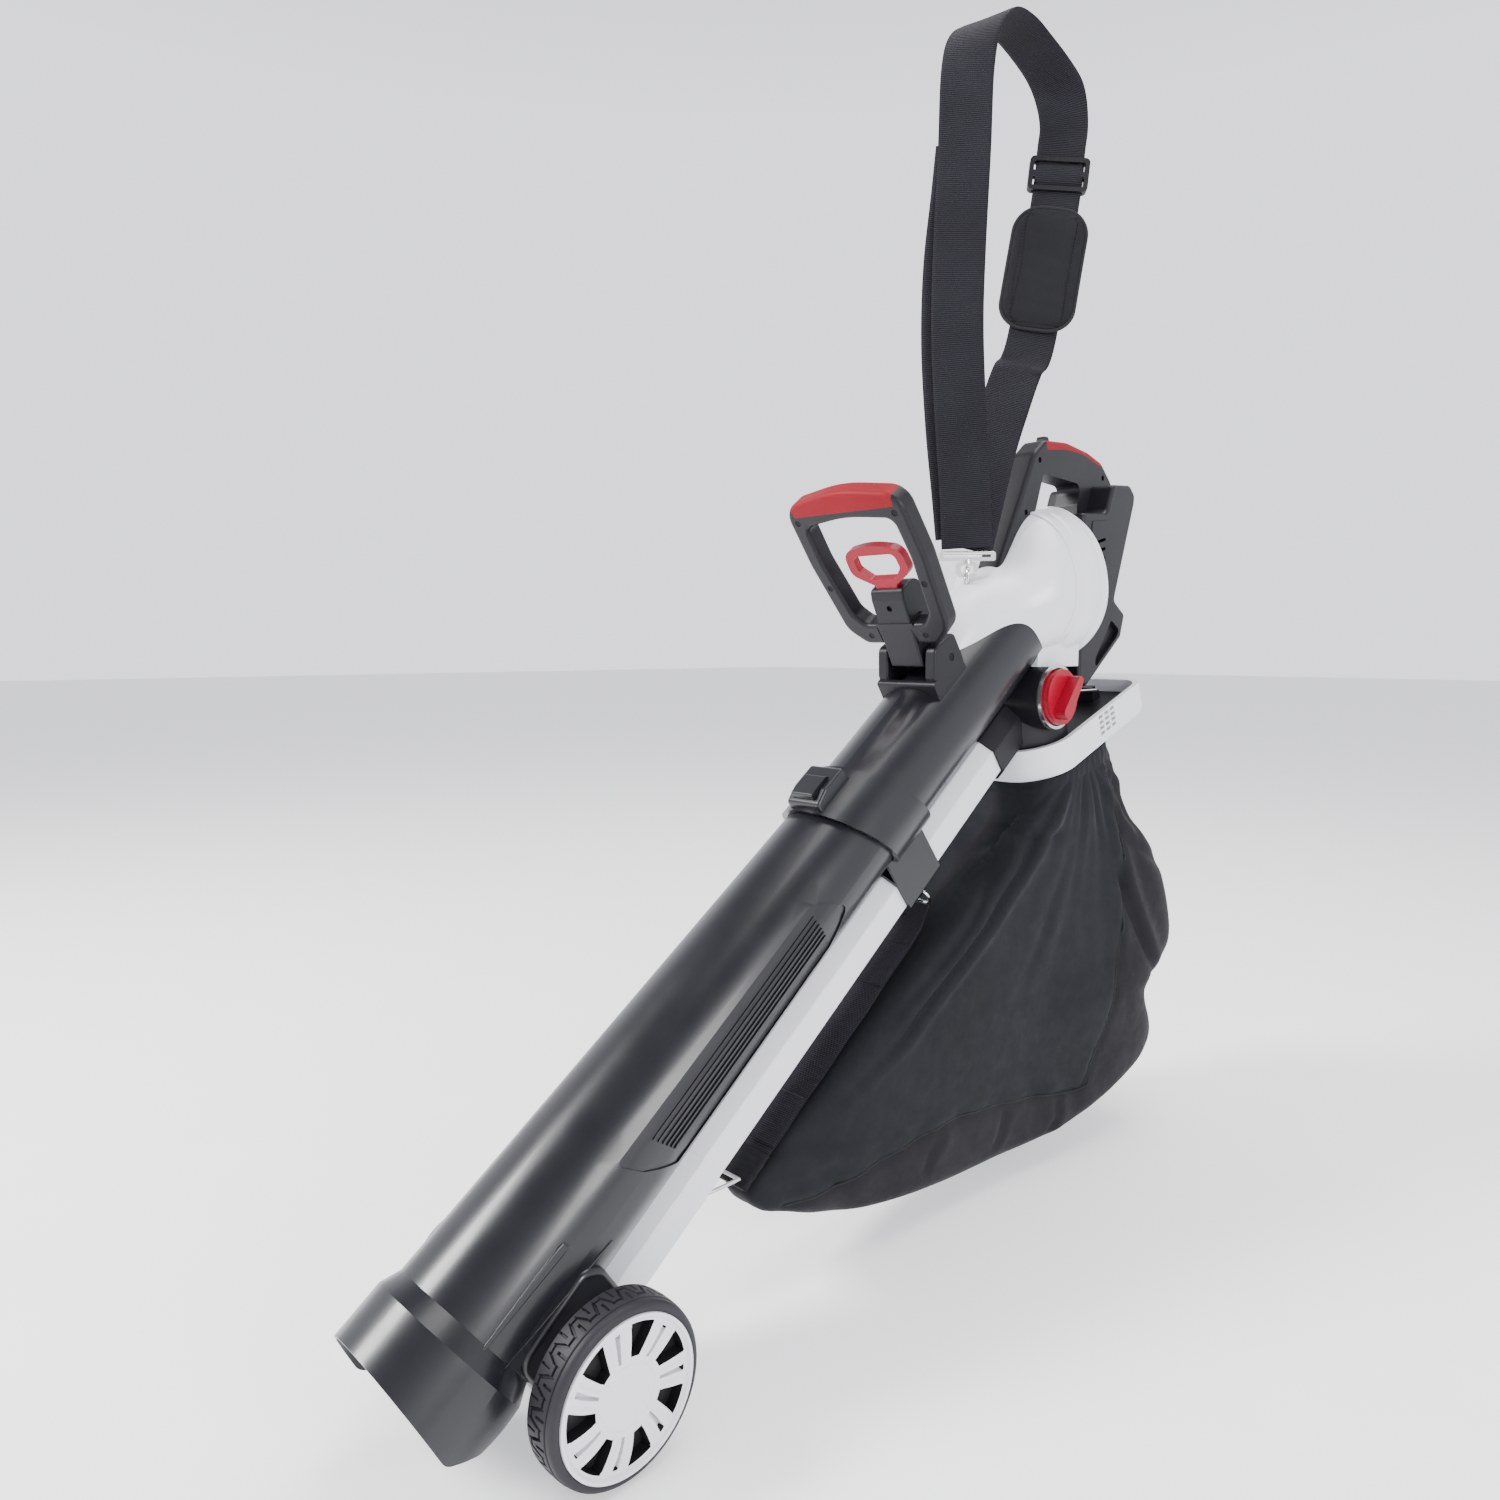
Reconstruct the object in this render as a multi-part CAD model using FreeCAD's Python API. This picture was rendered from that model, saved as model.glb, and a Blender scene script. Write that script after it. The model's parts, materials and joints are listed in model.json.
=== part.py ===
"""Cordless garden blower and vacuum with two parallel tubes, wheels, collection bag and strap.

Row frame, millimetres: X across (the mode knob is on +X), -Y towards the mouth, +Y towards the rear
handle, Z up, floor at Z = 0.  The tubes are drawn in a tube frame (x, s, n), whose s axis runs up
along the tubes and whose n axis is square to them; its origin is the middle of the wheel axle.
The fan, motor and rear body are drawn upright in the row frame before the shift that puts the
origin under the middle of the whole object.
"""
import FreeCAD
import Part
import math
import os

V = FreeCAD.Vector

# ---- driving dimensions -------------------------------------------------------------------------
TUBE_ANGLE = 37.4          # tubes above horizontal, degrees
Y_MIDDLE = 339.5           # Y of the middle of the object, measured from the axle
WALL = 2.6                 # moulded plastic wall
GAP = 0.3                  # gap between pieces that lie against each other

WHEEL_R = 62.5
WHEEL_IN, WHEEL_OUT = 72.0, 101.7     # inner and outer faces of each wheel, |x|
RIM_R = 54.6
AXLE_R = 4.0

TUBE_N_LOW, TUBE_R_LOW = 65.0, 57.0   # lower suction tube where the flare begins
TUBE_N_HIGH, TUBE_R_HIGH = 61.8, 48.8  # and where the upper tube begins
FLARE_S, JOINT_S, MOUTH_S = -32.0, 452.0, -112.0
FAIRING_X = 58.2
MOUTH_R = 63.5
UPPER_N, UPPER_R = 62.6, 48.4

BLOW_HALF, BLOW_TOP, BLOW_LOW, BLOW_CHAMFER = 25.0, 4.0, -45.0, 12.0
BLOW_START, BLOW_JOINT, BLOW_MIDDLE, BLOW_END = 28.0, 160.0, 486.0, 664.0

FAN_Z = 611.0              # height of the fan axis
FAN_R = 71.0               # volute radius
BOSS_R = 66.5
BOSS_Y, DRUM_Y, DRUM_BACK = 576.0, 608.0, 658.0
DIVERTER_TOP = 534.5       # joint between fan housing and diverter

HANDLE_HALF = 14.0         # rear handle half width
BODY_HALF = 40.0           # rear body half width

KNOB_Y, KNOB_Z, KNOB_R = 589.0, 504.0, 28.5
FRAME_TILT = 20.0          # bag frame above horizontal, degrees
FRAME_Y, FRAME_Z = 638.0, 441.0
FRAME_FRONT, FRAME_REAR, FRAME_HALF, FRAME_HIGH = -70.0, 147.0, 60.0, 30.0

PIVOT_S, PIVOT_N = 639.0, 120.0       # front handle pivot
STRAP_WIDE, STRAP_THICK = 50.0, 2.0

SIDES = (("left", -1), ("right", 1))


# ---- helpers ------------------------------------------------------------------------------------
def box(x0, x1, y0, y1, z0, z1):
    return Part.makeBox(x1 - x0, y1 - y0, z1 - z0, V(x0, y0, z0))


def rod(start, end, radius):
    start, end = V(*start), V(*end)
    return Part.makeCylinder(radius, (end - start).Length, start, end - start)


def pipe(start, end, outer, inner):
    return rod(start, end, outer).cut(rod(start, end, inner))


def corner_wire(points, place):
    """Closed wire through (u, v, radius) corners, each rounded by its radius; place maps u, v to 3-D."""
    edges = []
    ends = []
    count = len(points)
    for i, point in enumerate(points):
        here = V(point[0], point[1], 0)
        radius = point[2] if len(point) > 2 else 0
        before = V(points[i - 1][0], points[i - 1][1], 0) - here
        after = V(points[(i + 1) % count][0], points[(i + 1) % count][1], 0) - here
        if radius == 0:
            ends.append((here, here, None))
            continue
        before.normalize()
        after.normalize()
        half = before.getAngle(after) / 2
        reach = radius / math.tan(half)
        bisector = before + after
        bisector.normalize()
        middle = here + bisector * (radius / math.sin(half) - radius)
        ends.append((here + before * reach, here + after * reach, middle))
    for i, (first, last, middle) in enumerate(ends):
        if middle is not None:
            edges.append(Part.Arc(place(first), place(middle), place(last)).toShape())
        following = ends[(i + 1) % count][0]
        if (following - last).Length > 1e-6:
            edges.append(Part.LineSegment(place(last), place(following)).toShape())
    return Part.Wire(edges)


def prism(points, axis, low, high):
    """Extrude a rounded outline from low to high along axis: x takes (y, z), y takes (x, z), z takes (x, y)."""
    if axis == "x":
        wire = corner_wire(points, lambda p: V(low, p.x, p.y))
        along = V(high - low, 0, 0)
    elif axis == "y":
        wire = corner_wire(points, lambda p: V(p.x, low, p.y))
        along = V(0, high - low, 0)
    else:
        wire = corner_wire(points, lambda p: V(p.x, p.y, low))
        along = V(0, 0, high - low)
    return Part.Face(wire).extrude(along)


def lower_tube_solid(shrink=0.0):
    """Revolve the flared tube about its own axis, which leans slightly to the tube frame's s axis."""
    profile = [(y, r - shrink) for y, r in LOWER_STATIONS]
    corners = [V(0, profile[0][0], 0)] + [V(r, y, 0) for y, r in profile] + [V(0, profile[-1][0], 0)]
    face = Part.Face(Part.makePolygon(corners + corners[:1]))
    solid = face.revolve(V(0, 0, 0), V(0, 1, 0), 360)
    lean = math.degrees(math.atan2(TUBE_N_HIGH - TUBE_N_LOW, JOINT_S - FLARE_S))
    solid.rotate(V(0, FLARE_S, 0), V(1, 0, 0), lean)
    solid.translate(V(0, 0, TUBE_N_LOW))
    return solid


def soften(shape, radius, wanted):
    """Round the edges for which wanted(bounding box of the edge) is true."""
    return shape.makeFillet(radius, [edge for edge in shape.Edges if wanted(edge.BoundBox)])


def join(shapes):
    result = shapes[0]
    if len(shapes) > 1:
        result = result.multiFuse(shapes[1:]).removeSplitter()
    return result


def group(shapes):
    return Part.makeCompound(shapes)


def mirrored(shape):
    return shape.mirror(V(0, 0, 0), V(1, 0, 0))


def both(shape):
    return [shape, mirrored(shape)]


def tube_frame(shape):
    """Place a shape drawn in the tube frame."""
    moved = shape.copy()
    moved.rotate(V(0, 0, 0), V(1, 0, 0), TUBE_ANGLE)
    moved.translate(V(0, -Y_MIDDLE, WHEEL_R))
    return moved


def row_frame(shape):
    """Place a shape drawn upright, with Y measured from the axle."""
    moved = shape.copy()
    moved.translate(V(0, -Y_MIDDLE, 0))
    return moved


def bag_plane(shape):
    """Place a shape drawn in the bag frame's own plane: y along it, z square to it."""
    moved = shape.copy()
    moved.rotate(V(0, 0, 0), V(1, 0, 0), FRAME_TILT)
    moved.translate(V(0, FRAME_Y - Y_MIDDLE, FRAME_Z))
    return moved


def upright(s, n):
    """Y (from the axle) and Z of a point of the tube frame."""
    turn = math.radians(TUBE_ANGLE)
    y = s * math.cos(turn) - n * math.sin(turn)
    z = WHEEL_R + s * math.sin(turn) + n * math.cos(turn)
    return y, z


# ---- suction tube -------------------------------------------------------------------------------
LOWER_STATIONS = [(MOUTH_S - 20, MOUTH_R), (FLARE_S - 14, MOUTH_R - 0.5), (FLARE_S, TUBE_R_LOW),
                  (JOINT_S + 20, TUBE_R_HIGH - 0.35)]


def mouth_cutter():
    """The scoop leans back over an open underside, with a rounded lower corner."""
    return prism([(-79, 150), (-95, 62, 12), (-79, 37, 12), (-38.5, 11), (-38.5, -20), (-170, -20), (-170, 150)], "x", -90, 90)


def axle_fairing():
    """Hollow cheek on the tube's flank that carries one end of the axle."""
    outline = [(-36, -13, 8), (-30, 56, 14), (40, 60, 14), (50, 46, 14), (46, -13, 10)]
    cheek = soften(prism(outline, "x", 30, FAIRING_X), 5, lambda b: b.XLength < 0.01 and b.XMin > FAIRING_X - 0.1)
    pocket = prism([(-32, -20), (-26, 52, 10), (38, 56, 10), (46, 44, 10), (42, -20)], "x", 20, FAIRING_X - WALL)
    web = box(BLOW_HALF + 4, FAIRING_X, -11, 11, -13, 40)
    return cheek.cut(pocket).fuse(web)


def rail_panel():
    """Shallow panel let into the tube's flank, with ridges left standing along it."""
    outline = [(102, 87, 3), (113, 66, 8), (138, 36, 3), (352, 36, 3), (384, 54, 6), (362, 80, 6), (352, 84, 3)]
    panel = prism(outline, "x", 24, 70).cut(lower_tube_solid(1.3))
    for n in (75, 70.5, 66, 61.5, 57, 52.5):
        low = 130 + (75 - n) * 0.35
        panel = panel.cut(prism([(low, n, 0.5), (low + 5, n + 1.5, 0.5), (350, n + 1.5), (350, n)], "x", 20, 80))
    return panel


def suction_tube_lower():
    outer = lower_tube_solid()
    bore = lower_tube_solid(WALL)
    body = join([outer] + both(axle_fairing()))
    for panel in both(rail_panel()):
        body = body.cut(panel)
    body = body.cut(bore)
    body = body.cut(mouth_cutter())
    body = body.cut(box(-90, 90, JOINT_S, 600, -60, 200))
    body = body.cut(rod((-80, 0, 0), (80, 0, 0), AXLE_R + 2.95))
    body = body.cut(prism(blow_outline(1.6), "y", -60, 120))
    return tube_frame(body)


def suction_tube_upper():
    spigot = pipe((0, 408, 62.1), (0, JOINT_S + 2, 62.1), 45.6, 43.2)
    shell = pipe((0, JOINT_S + GAP, UPPER_N), (0, 820, UPPER_N), UPPER_R, UPPER_R - WALL)
    collar = pipe((0, JOINT_S + GAP, UPPER_N), (0, JOINT_S + 5, UPPER_N), UPPER_R - 0.5, 43.2)
    body = join([shell, spigot, collar])
    placed = tube_frame(body)
    keep = box(-60, 60, -Y_MIDDLE, BOSS_Y + 16 - Y_MIDDLE, 0, 900)
    return placed.common(keep)


# ---- blow tube ----------------------------------------------------------------------------------
def blow_outline(grow=0.0):
    half, top, low = BLOW_HALF + grow, BLOW_TOP + grow, BLOW_LOW - grow
    cut = BLOW_CHAMFER + grow * 0.6
    corners = [(half, low + cut), (half, top - cut), (half - cut, top), (cut - half, top),
               (-half, top - cut), (-half, low + cut), (cut - half, low), (half - cut, low)]
    return [(x, n, 3.0) for x, n in corners]


def blow_section(start, end, grow=0.0):
    outer = prism(blow_outline(grow), "y", start, end)
    bore = prism(blow_outline(grow - 2.4), "y", start - 1, end + 1)
    return outer.cut(bore)


def shoulder_ring(start, end):
    """Thick ring that carries a spigot inside the end of an octagonal tube."""
    outer = prism(blow_outline(-0.2), "y", start, end)
    return outer.cut(prism(blow_outline(-5.2), "y", start - 1, end + 1))


def blow_nozzle():
    pipe_end = blow_section(BLOW_START, BLOW_JOINT, 1.2)
    spigot = blow_section(BLOW_JOINT - 4, BLOW_JOINT + 26, -2.8)
    shoulder = shoulder_ring(BLOW_JOINT - 4, BLOW_JOINT)
    return tube_frame(join([pipe_end, spigot, shoulder]))


def blow_tube_lower():
    return tube_frame(blow_section(BLOW_JOINT + GAP, BLOW_MIDDLE))


def blow_tube_upper():
    body = blow_section(BLOW_MIDDLE + GAP, BLOW_END)
    spigot = blow_section(BLOW_MIDDLE - 26, BLOW_MIDDLE + 4, -2.8)
    shoulder = shoulder_ring(BLOW_MIDDLE + GAP, BLOW_MIDDLE + 4)
    return tube_frame(join([body, spigot, shoulder]))


# ---- collar that ties the two tubes together ----------------------------------------------------
def tube_collar():
    band = pipe((0, 400, 62.2), (0, 540, 62.2), 54.4, 49.4)
    lean = [(425, 120), (424, 130), (482, 130), (483, 120), (520, 24), (520, 14), (470, 14), (463, 24)]
    ring = band.common(prism(lean, "x", -70, 70))
    loop = prism(blow_outline(4.2), "y", 458, 514).cut(prism(blow_outline(0.4), "y", 450, 520))
    web = both(prism([(458, -14), (458, 34), (470, 34), (514, 20), (514, -14)], "x", 26, 29.2))
    block = prism([(430, 108), (430, 122, 4), (446, 126.5, 4), (474, 126.5, 4), (476, 108)], "x", -19, 19)
    block = soften(block, 2.5, lambda b: b.XLength < 0.01 and b.ZMin > 109)
    step = prism([(434, 124), (434, 129.5, 2), (458, 129.5, 2), (462, 124)], "x", -12, 12)
    tab = prism([(480, -47), (482, -62, 4), (500, -66, 5), (510, -62, 4), (512, -47)], "x", -3.5, 3.5)
    body = join([ring, loop, block, step, tab] + web)
    clear = lower_tube_solid(-0.4)
    body = body.cut(clear).cut(rod((0, 440, 62.2), (0, 560, 62.2), UPPER_R + 0.4))
    body = body.cut(rod((12, 440, 122.5), (12, 490, 122.5), 1.6))
    body = body.cut(rod((12, 470.5, 122.5), (12, 490, 122.5), 3.4))
    return tube_frame(body.cut(rod((-20, 500, -60.3), (20, 500, -60.3), 2.7)))


def collar_screw():
    shank = rod((12, 444, 122.5), (12, 470.5, 122.5), 1.6)
    head = rod((12, 470.5, 122.5), (12, 473, 122.5), 3.2)
    return tube_frame(shank.fuse(head))


# ---- wheels -------------------------------------------------------------------------------------
WINDOWS = 7


def axle():
    return tube_frame(rod((-WHEEL_OUT + 3, 0, 0), (WHEEL_OUT - 3, 0, 0), AXLE_R))


def axle_bushes():
    bushes = []
    for side in (-1, 1):
        bush = pipe((side * 48, 0, 0), (side * 70, 0, 0), AXLE_R + 2.9, AXLE_R + 0.05)
        flange = pipe((side * (FAIRING_X + 0.2), 0, 0), (side * 70, 0, 0), AXLE_R + 5, AXLE_R + 0.05)
        bushes.append(bush.fuse(flange).removeSplitter())
    return tube_frame(group(bushes))


def axle_clips():
    clips = [pipe((side * 91.4, 0, 0), (side * 93.2, 0, 0), 8.5, AXLE_R) for side in (-1, 1)]
    return tube_frame(group(clips))


def window_cutter(angle, half_width_in, half_width_out, inner, outer, corner):
    """One spoke window: a sector with rounded corners, cut through the wheel's face."""
    outline = [(inner, -half_width_in, corner), (outer, -half_width_out, corner),
               (outer, half_width_out, corner), (inner, half_width_in, corner)]
    cutter = prism(outline, "x", 80, 110)
    cutter.rotate(V(0, 0, 0), V(1, 0, 0), angle)
    return cutter


def wheel_rim(side):
    face = rod((95.5, 0, 0), (WHEEL_OUT - 2.2, 0, 0), RIM_R)
    hub_face = rod((WHEEL_OUT - 2.3, 0, 0), (WHEEL_OUT - 0.8, 0, 0), 23.5)
    lip = pipe((WHEEL_OUT - 2.3, 0, 0), (WHEEL_OUT, 0, 0), RIM_R, RIM_R - 3.2)
    barrel = pipe((WHEEL_IN + 3, 0, 0), (96, 0, 0), RIM_R, RIM_R - 2.8)
    hub = pipe((WHEEL_IN, 0, 0), (91, 0, 0), 9, AXLE_R + 0.05)
    hub_wall = pipe((90, 0, 0), (96, 0, 0), 23, 19)
    hub_foot = pipe((88, 0, 0), (91, 0, 0), 23, 8.5)
    rim = join([face, hub_face, lip, barrel, hub, hub_wall, hub_foot])
    pitch = 360.0 / WINDOWS
    for i in range(WINDOWS):
        rim = rim.cut(window_cutter(i * pitch, 2.6, 7.2, 27, 48, 2.0))
        rim = rim.cut(window_cutter((i + 0.5) * pitch, 1.0, 1.6, 28, 47, 0.6))
    rim = rim.cut(rod((60, 0, 0), (WHEEL_OUT - 2.5, 0, 0), AXLE_R + 0.05))
    rim = rim.cut(rod((91, 0, 0), (95.5, 0, 0), 9.2))
    return tube_frame(rim if side > 0 else mirrored(rim))


def tyre(side):
    ring = pipe((WHEEL_IN, 0, 0), (WHEEL_OUT - 1.5, 0, 0), WHEEL_R, RIM_R + 0.1)
    rounded = ring.makeFillet(3.5, [e for e in ring.Edges if abs(e.BoundBox.YMax - WHEEL_R) < 0.01
                                    and e.BoundBox.XLength < 0.01])
    return tube_frame(rounded if side > 0 else mirrored(rounded))


# ---- front handle -------------------------------------------------------------------------------
LEG_OUT, LEG_IN = 67.0, 50.0
HANDLE_FRONT, HANDLE_SPLIT, HANDLE_BACK = 621.5, 631.0, 641.0


def handle_loop():
    outside = [(-42, 148, 14), (-60, 165, 22), (-LEG_OUT, 240, 60), (-LEG_OUT + 1, 303, 20), (0, 313, 150),
               (LEG_OUT - 1, 303, 20), (LEG_OUT, 240, 60), (60, 165, 22), (42, 148, 14)]
    inside = [(-34, 170, 9), (-44, 182, 12), (-LEG_IN - 1, 240, 60), (-LEG_IN, 280, 10), (0, 286, 150),
              (LEG_IN, 280, 10), (LEG_IN + 1, 240, 60), (44, 182, 12), (34, 170, 9)]
    solid = prism(outside, "y", HANDLE_FRONT, HANDLE_BACK)
    hole = prism(inside, "y", HANDLE_FRONT - 2, HANDLE_BACK + 2)
    loop = solid.cut(hole)
    return soften(loop, 4.0, lambda b: b.YLength < 0.01 and (b.YMin < HANDLE_FRONT + 0.1 or b.YMax > HANDLE_BACK - 0.1))


HANDLE_SCREWS = [(-56, 286), (56, 286), (-55, 214), (55, 214), (-32, 158.5), (32, 158.5)]


def grip_zone():
    """Where the red grip wraps the loop's top bar."""
    return prism([(-57, 292), (-62, 340), (62, 340), (57, 292)], "y", 600, 660)


def front_handle_half(front):
    loop = handle_loop()
    if front:
        zone = box(-90, 90, 600, HANDLE_SPLIT, 100, 340)
    else:
        zone = box(-90, 90, HANDLE_SPLIT + 0.02, 660, 100, 340)
    half = loop.common(zone).cut(grip_zone())
    for x, n in HANDLE_SCREWS:
        half = half.cut(rod((x, 618, n), (x, 640, n), 1.5))
        half = half.cut(rod((x, 610, n), (x, 624, n), 3.2))
    half = half.cut(box(-21.5, 21.5, 600, 660, 140, 176))
    return tube_frame(half)


def front_handle_grip():
    band = handle_loop().common(grip_zone())
    return tube_frame(band)


def front_handle_screws():
    screws = []
    for x, n in HANDLE_SCREWS:
        shank = rod((x, 624, n), (x, 639.5, n), 1.5)
        head = rod((x, 621.8, n), (x, 624, n), 3.1)
        screws.append(shank.fuse(head))
    return tube_frame(group(screws))


def release_tongue():
    """Upright between the bracket ears: carries the loop's foot and the pull ring's lock pin."""
    upright_part = prism([(615, 126, 3), (627, 194, 4), (631, 203, 5), (655, 203, 14), (664, 176, 8),
                          (656, 150, 6), (648, 118, 3), (632, 118, 3)], "x", -19, 19)
    upright_part = soften(upright_part, 1.8, lambda b: b.XLength < 0.01 and b.ZMin > 125)
    barrel = rod((-21, PIVOT_S, PIVOT_N), (21, PIVOT_S, PIVOT_N), 8.4)
    cross = prism([(622, 148), (622, 171), (642, 171), (642, 148)], "x", -21.3, 21.3)
    body = join([upright_part, barrel, cross])
    body = body.cut(rod((-30, PIVOT_S, PIVOT_N), (30, PIVOT_S, PIVOT_N), 4.05))
    slot = box(-12.3, 12.3, 633.7, 642.3, 150, 210)
    well = rod((0, 638, 136), (0, 638, 152), 4.4)
    body = body.cut(slot).cut(well)
    body = body.cut(rod((0, 600, 186), (0, 628, 186), 3.0))
    return tube_frame(body)


def release_ring():
    outline = [(-12, 196), (-12, 206, 4), (-34, 219, 11), (-33, 244, 13), (0, 250, 90), (33, 244, 13),
               (34, 219, 11), (12, 206, 4), (12, 196)]
    window = [(-14, 213, 4), (-25, 224, 6), (-24, 239, 6), (24, 239, 6), (25, 224, 6), (14, 213, 4)]
    ring = prism(outline, "y", 634, 642).cut(prism(window, "y", 630, 646))
    blade = box(-12, 12, 634, 642, 162, 200)
    return tube_frame(ring.fuse(blade).removeSplitter())


def release_pin():
    return tube_frame(rod((0, 638, 136.4), (0, 638, 162), 4.0))


def release_spring():
    """Tension spring that draws the pull ring down, as rings joined by a spine."""
    coils = [Part.makeTorus(3.2, 0.5, V(0, 0, z), V(0, 0, 1)) for z in (0, 2, 4, 6, 8)]
    spine = [box(2.9, 3.5, -0.4, 0.4, 0, 8)]
    spring = join(coils + spine)
    spring.translate(V(8.2, 638, 151.2))
    return tube_frame(spring)


def handle_bracket():
    ear = prism([(603, 80), (607, 120, 6), (623, 142, 8), (656, 137, 6), (655, 114), (650, 80)], "x", 22, 34)
    ear = soften(ear, 2.5, lambda b: b.XLength < 0.01 and b.ZMax > 81)
    front_wall = prism([(600, 80), (602, 116, 3), (609, 116, 2), (609, 80)], "x", -34, 34)
    base = prism([(600, 80), (601, 103, 2), (652, 103), (652, 80)], "x", -34, 34)
    body = join([ear, mirrored(ear), front_wall, base])
    body = body.cut(rod((0, 590, UPPER_N), (0, 670, UPPER_N), UPPER_R + 0.1))
    body = body.cut(rod((-40, PIVOT_S, PIVOT_N), (40, PIVOT_S, PIVOT_N), 4.0))
    body = body.cut(rod((-21.8, PIVOT_S, PIVOT_N), (21.8, PIVOT_S, PIVOT_N), 14))
    return tube_frame(body)


def handle_pivot_pin():
    return tube_frame(rod((-33.5, PIVOT_S, PIVOT_N), (33.5, PIVOT_S, PIVOT_N), 4.0))


# ---- volute, fan and motor ----------------------------------------------------------------------
def egg_wire(y, half, low, high, z):
    """Half circle or ellipse below z, taller half ellipse above it."""
    return Part.Wire([arc_half(y, half, low, z, -1), arc_half(y, half, high, z, 1)])


def arc_half(y, half, rise, z, sign):
    points = []
    for i in range(13):
        angle = math.pi * i / 12
        if sign > 0:
            points.append(V(half * math.cos(angle), y, z + rise * math.sin(angle)))
        else:
            points.append(V(-half * math.cos(angle), y, z - rise * math.sin(angle)))
    curve = Part.BSplineCurve()
    curve.interpolate(points)
    return curve.toShape()


SADDLE = [(445, 11, 18, 16, 529), (478, 27, 40, 44, 552), (514, 37, 52, 46, 577), (548, 50, 60, 48, 594),
          (580, 67, 67, 76, 606), (612, 68, 68, 88, FAN_Z), (640, 68, 68, 89, FAN_Z)]


def saddle(shrink):
    wires = []
    for y, half, low, high, z in SADDLE:
        wires.append(egg_wire(y, half - shrink, low - shrink, high - shrink, z))
    return Part.makeLoft(wires, True, False)


def volute_solid(shrink):
    boss = rod((0, BOSS_Y + shrink, FAN_Z), (0, 640, FAN_Z), BOSS_R - shrink)
    boss = soften(boss, 12, lambda b: b.YMax < BOSS_Y + 5)
    stations = [(DRUM_Y, FAN_R - 10, 76), (DRUM_Y + 3, FAN_R - 5.5, 82), (DRUM_Y + 8, FAN_R - 2.5, 87),
                (DRUM_Y + 15, FAN_R - 0.5, 90), (DRUM_Y + 24, FAN_R, 91), (DRUM_BACK, FAN_R, 92)]
    drum_wires = [egg_wire(y + shrink, r - shrink, r - shrink, top - shrink, FAN_Z) for y, r, top in stations]
    drum = Part.makeLoft(drum_wires, True, False)
    neck = box(-42 + shrink, 42 - shrink, 572 + shrink, 652 - shrink, DIVERTER_TOP + (0.3 if shrink == 0 else -8), 570)
    return boss, drum, neck


def volute_halves():
    boss, drum, neck = volute_solid(0)
    outer = join([saddle(0), boss, drum, neck])
    boss_in, drum_in, neck_in = volute_solid(WALL)
    outer = outer.cut(boss_in).cut(drum_in).cut(neck_in).cut(saddle(WALL))
    tube_space = rod((0, 300, UPPER_N), (0, 840, UPPER_N), UPPER_R + GAP)
    tube_space = tube_frame(tube_space)
    tube_space.translate(V(0, Y_MIDDLE, 0))
    outer = outer.cut(tube_space.common(box(-60, 60, 300, BOSS_Y + 17, 0, 900)))
    outer = outer.cut(box(-90, 90, DRUM_BACK - 0.01, 700, 400, 800)).cut(eye_shape(0.05))
    halves = {}
    for name, side in SIDES:
        zone = box(0.01, 120, 400, 700, 450, 760) if side > 0 else box(-120, -0.01, 400, 700, 450, 760)
        halves[name] = row_frame(outer.common(zone))
    return halves


BLADES = 12


def impeller():
    """Open-faced fan with twelve blades on a dished plate."""
    plate = rod((0, 640, FAN_Z), (0, 643, FAN_Z), 62)
    hub = rod((0, 612, FAN_Z), (0, 641, FAN_Z), 12)
    blades = []
    for i in range(BLADES):
        blade = prism([(-1.2, 10), (-1.2, 60), (1.2, 60), (1.2, 10)], "y", 618, 641)
        blade.rotate(V(0, 0, 0), V(0, 1, 0), i * 360.0 / BLADES)
        blade.translate(V(0, 0, FAN_Z))
        blades.append(blade)
    fan = join([plate, hub] + blades)
    return row_frame(fan.cut(rod((0, 600, FAN_Z), (0, 660, FAN_Z), 3.96)))


def motor():
    can = rod((0, 668, FAN_Z), (0, 698, FAN_Z), 26)
    flange = rod((0, 650, FAN_Z), (0, 654, FAN_Z), 65)
    boss = rod((0, 653, FAN_Z), (0, 669, FAN_Z), 18)
    body = join([can, flange, boss])
    body = body.cut(rod((0, 640, FAN_Z), (0, 730, FAN_Z), 7.0))
    for angle in range(4):
        turn = math.radians(45 + 90 * angle)
        x, z = 20 * math.cos(turn), FAN_Z + 20 * math.sin(turn)
        body = body.cut(rod((x, 690, z), (x, 700, z), 3.0))
    return row_frame(body)


def motor_bearings():
    rings = [pipe((0, y, FAN_Z), (0, y + 5, FAN_Z), 7.0, 4.05) for y in (655, 692)]
    return row_frame(group(rings))


def motor_shaft():
    return row_frame(rod((0, 606, FAN_Z), (0, 710, FAN_Z), 3.96))


def cooling_fan():
    disc = pipe((0, 701, FAN_Z), (0, 703, FAN_Z), 26, 3.97)
    parts = [disc, pipe((0, 701, FAN_Z), (0, 708, FAN_Z), 8, 3.97)]
    for i in range(10):
        blade = box(-0.8, 0.8, 702, 708, 7, 25)
        blade.rotate(V(0, 0, 0), V(0, 1, 0), i * 36)
        blade.translate(V(0, 0, FAN_Z))
        parts.append(blade)
    return row_frame(join(parts))


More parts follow.
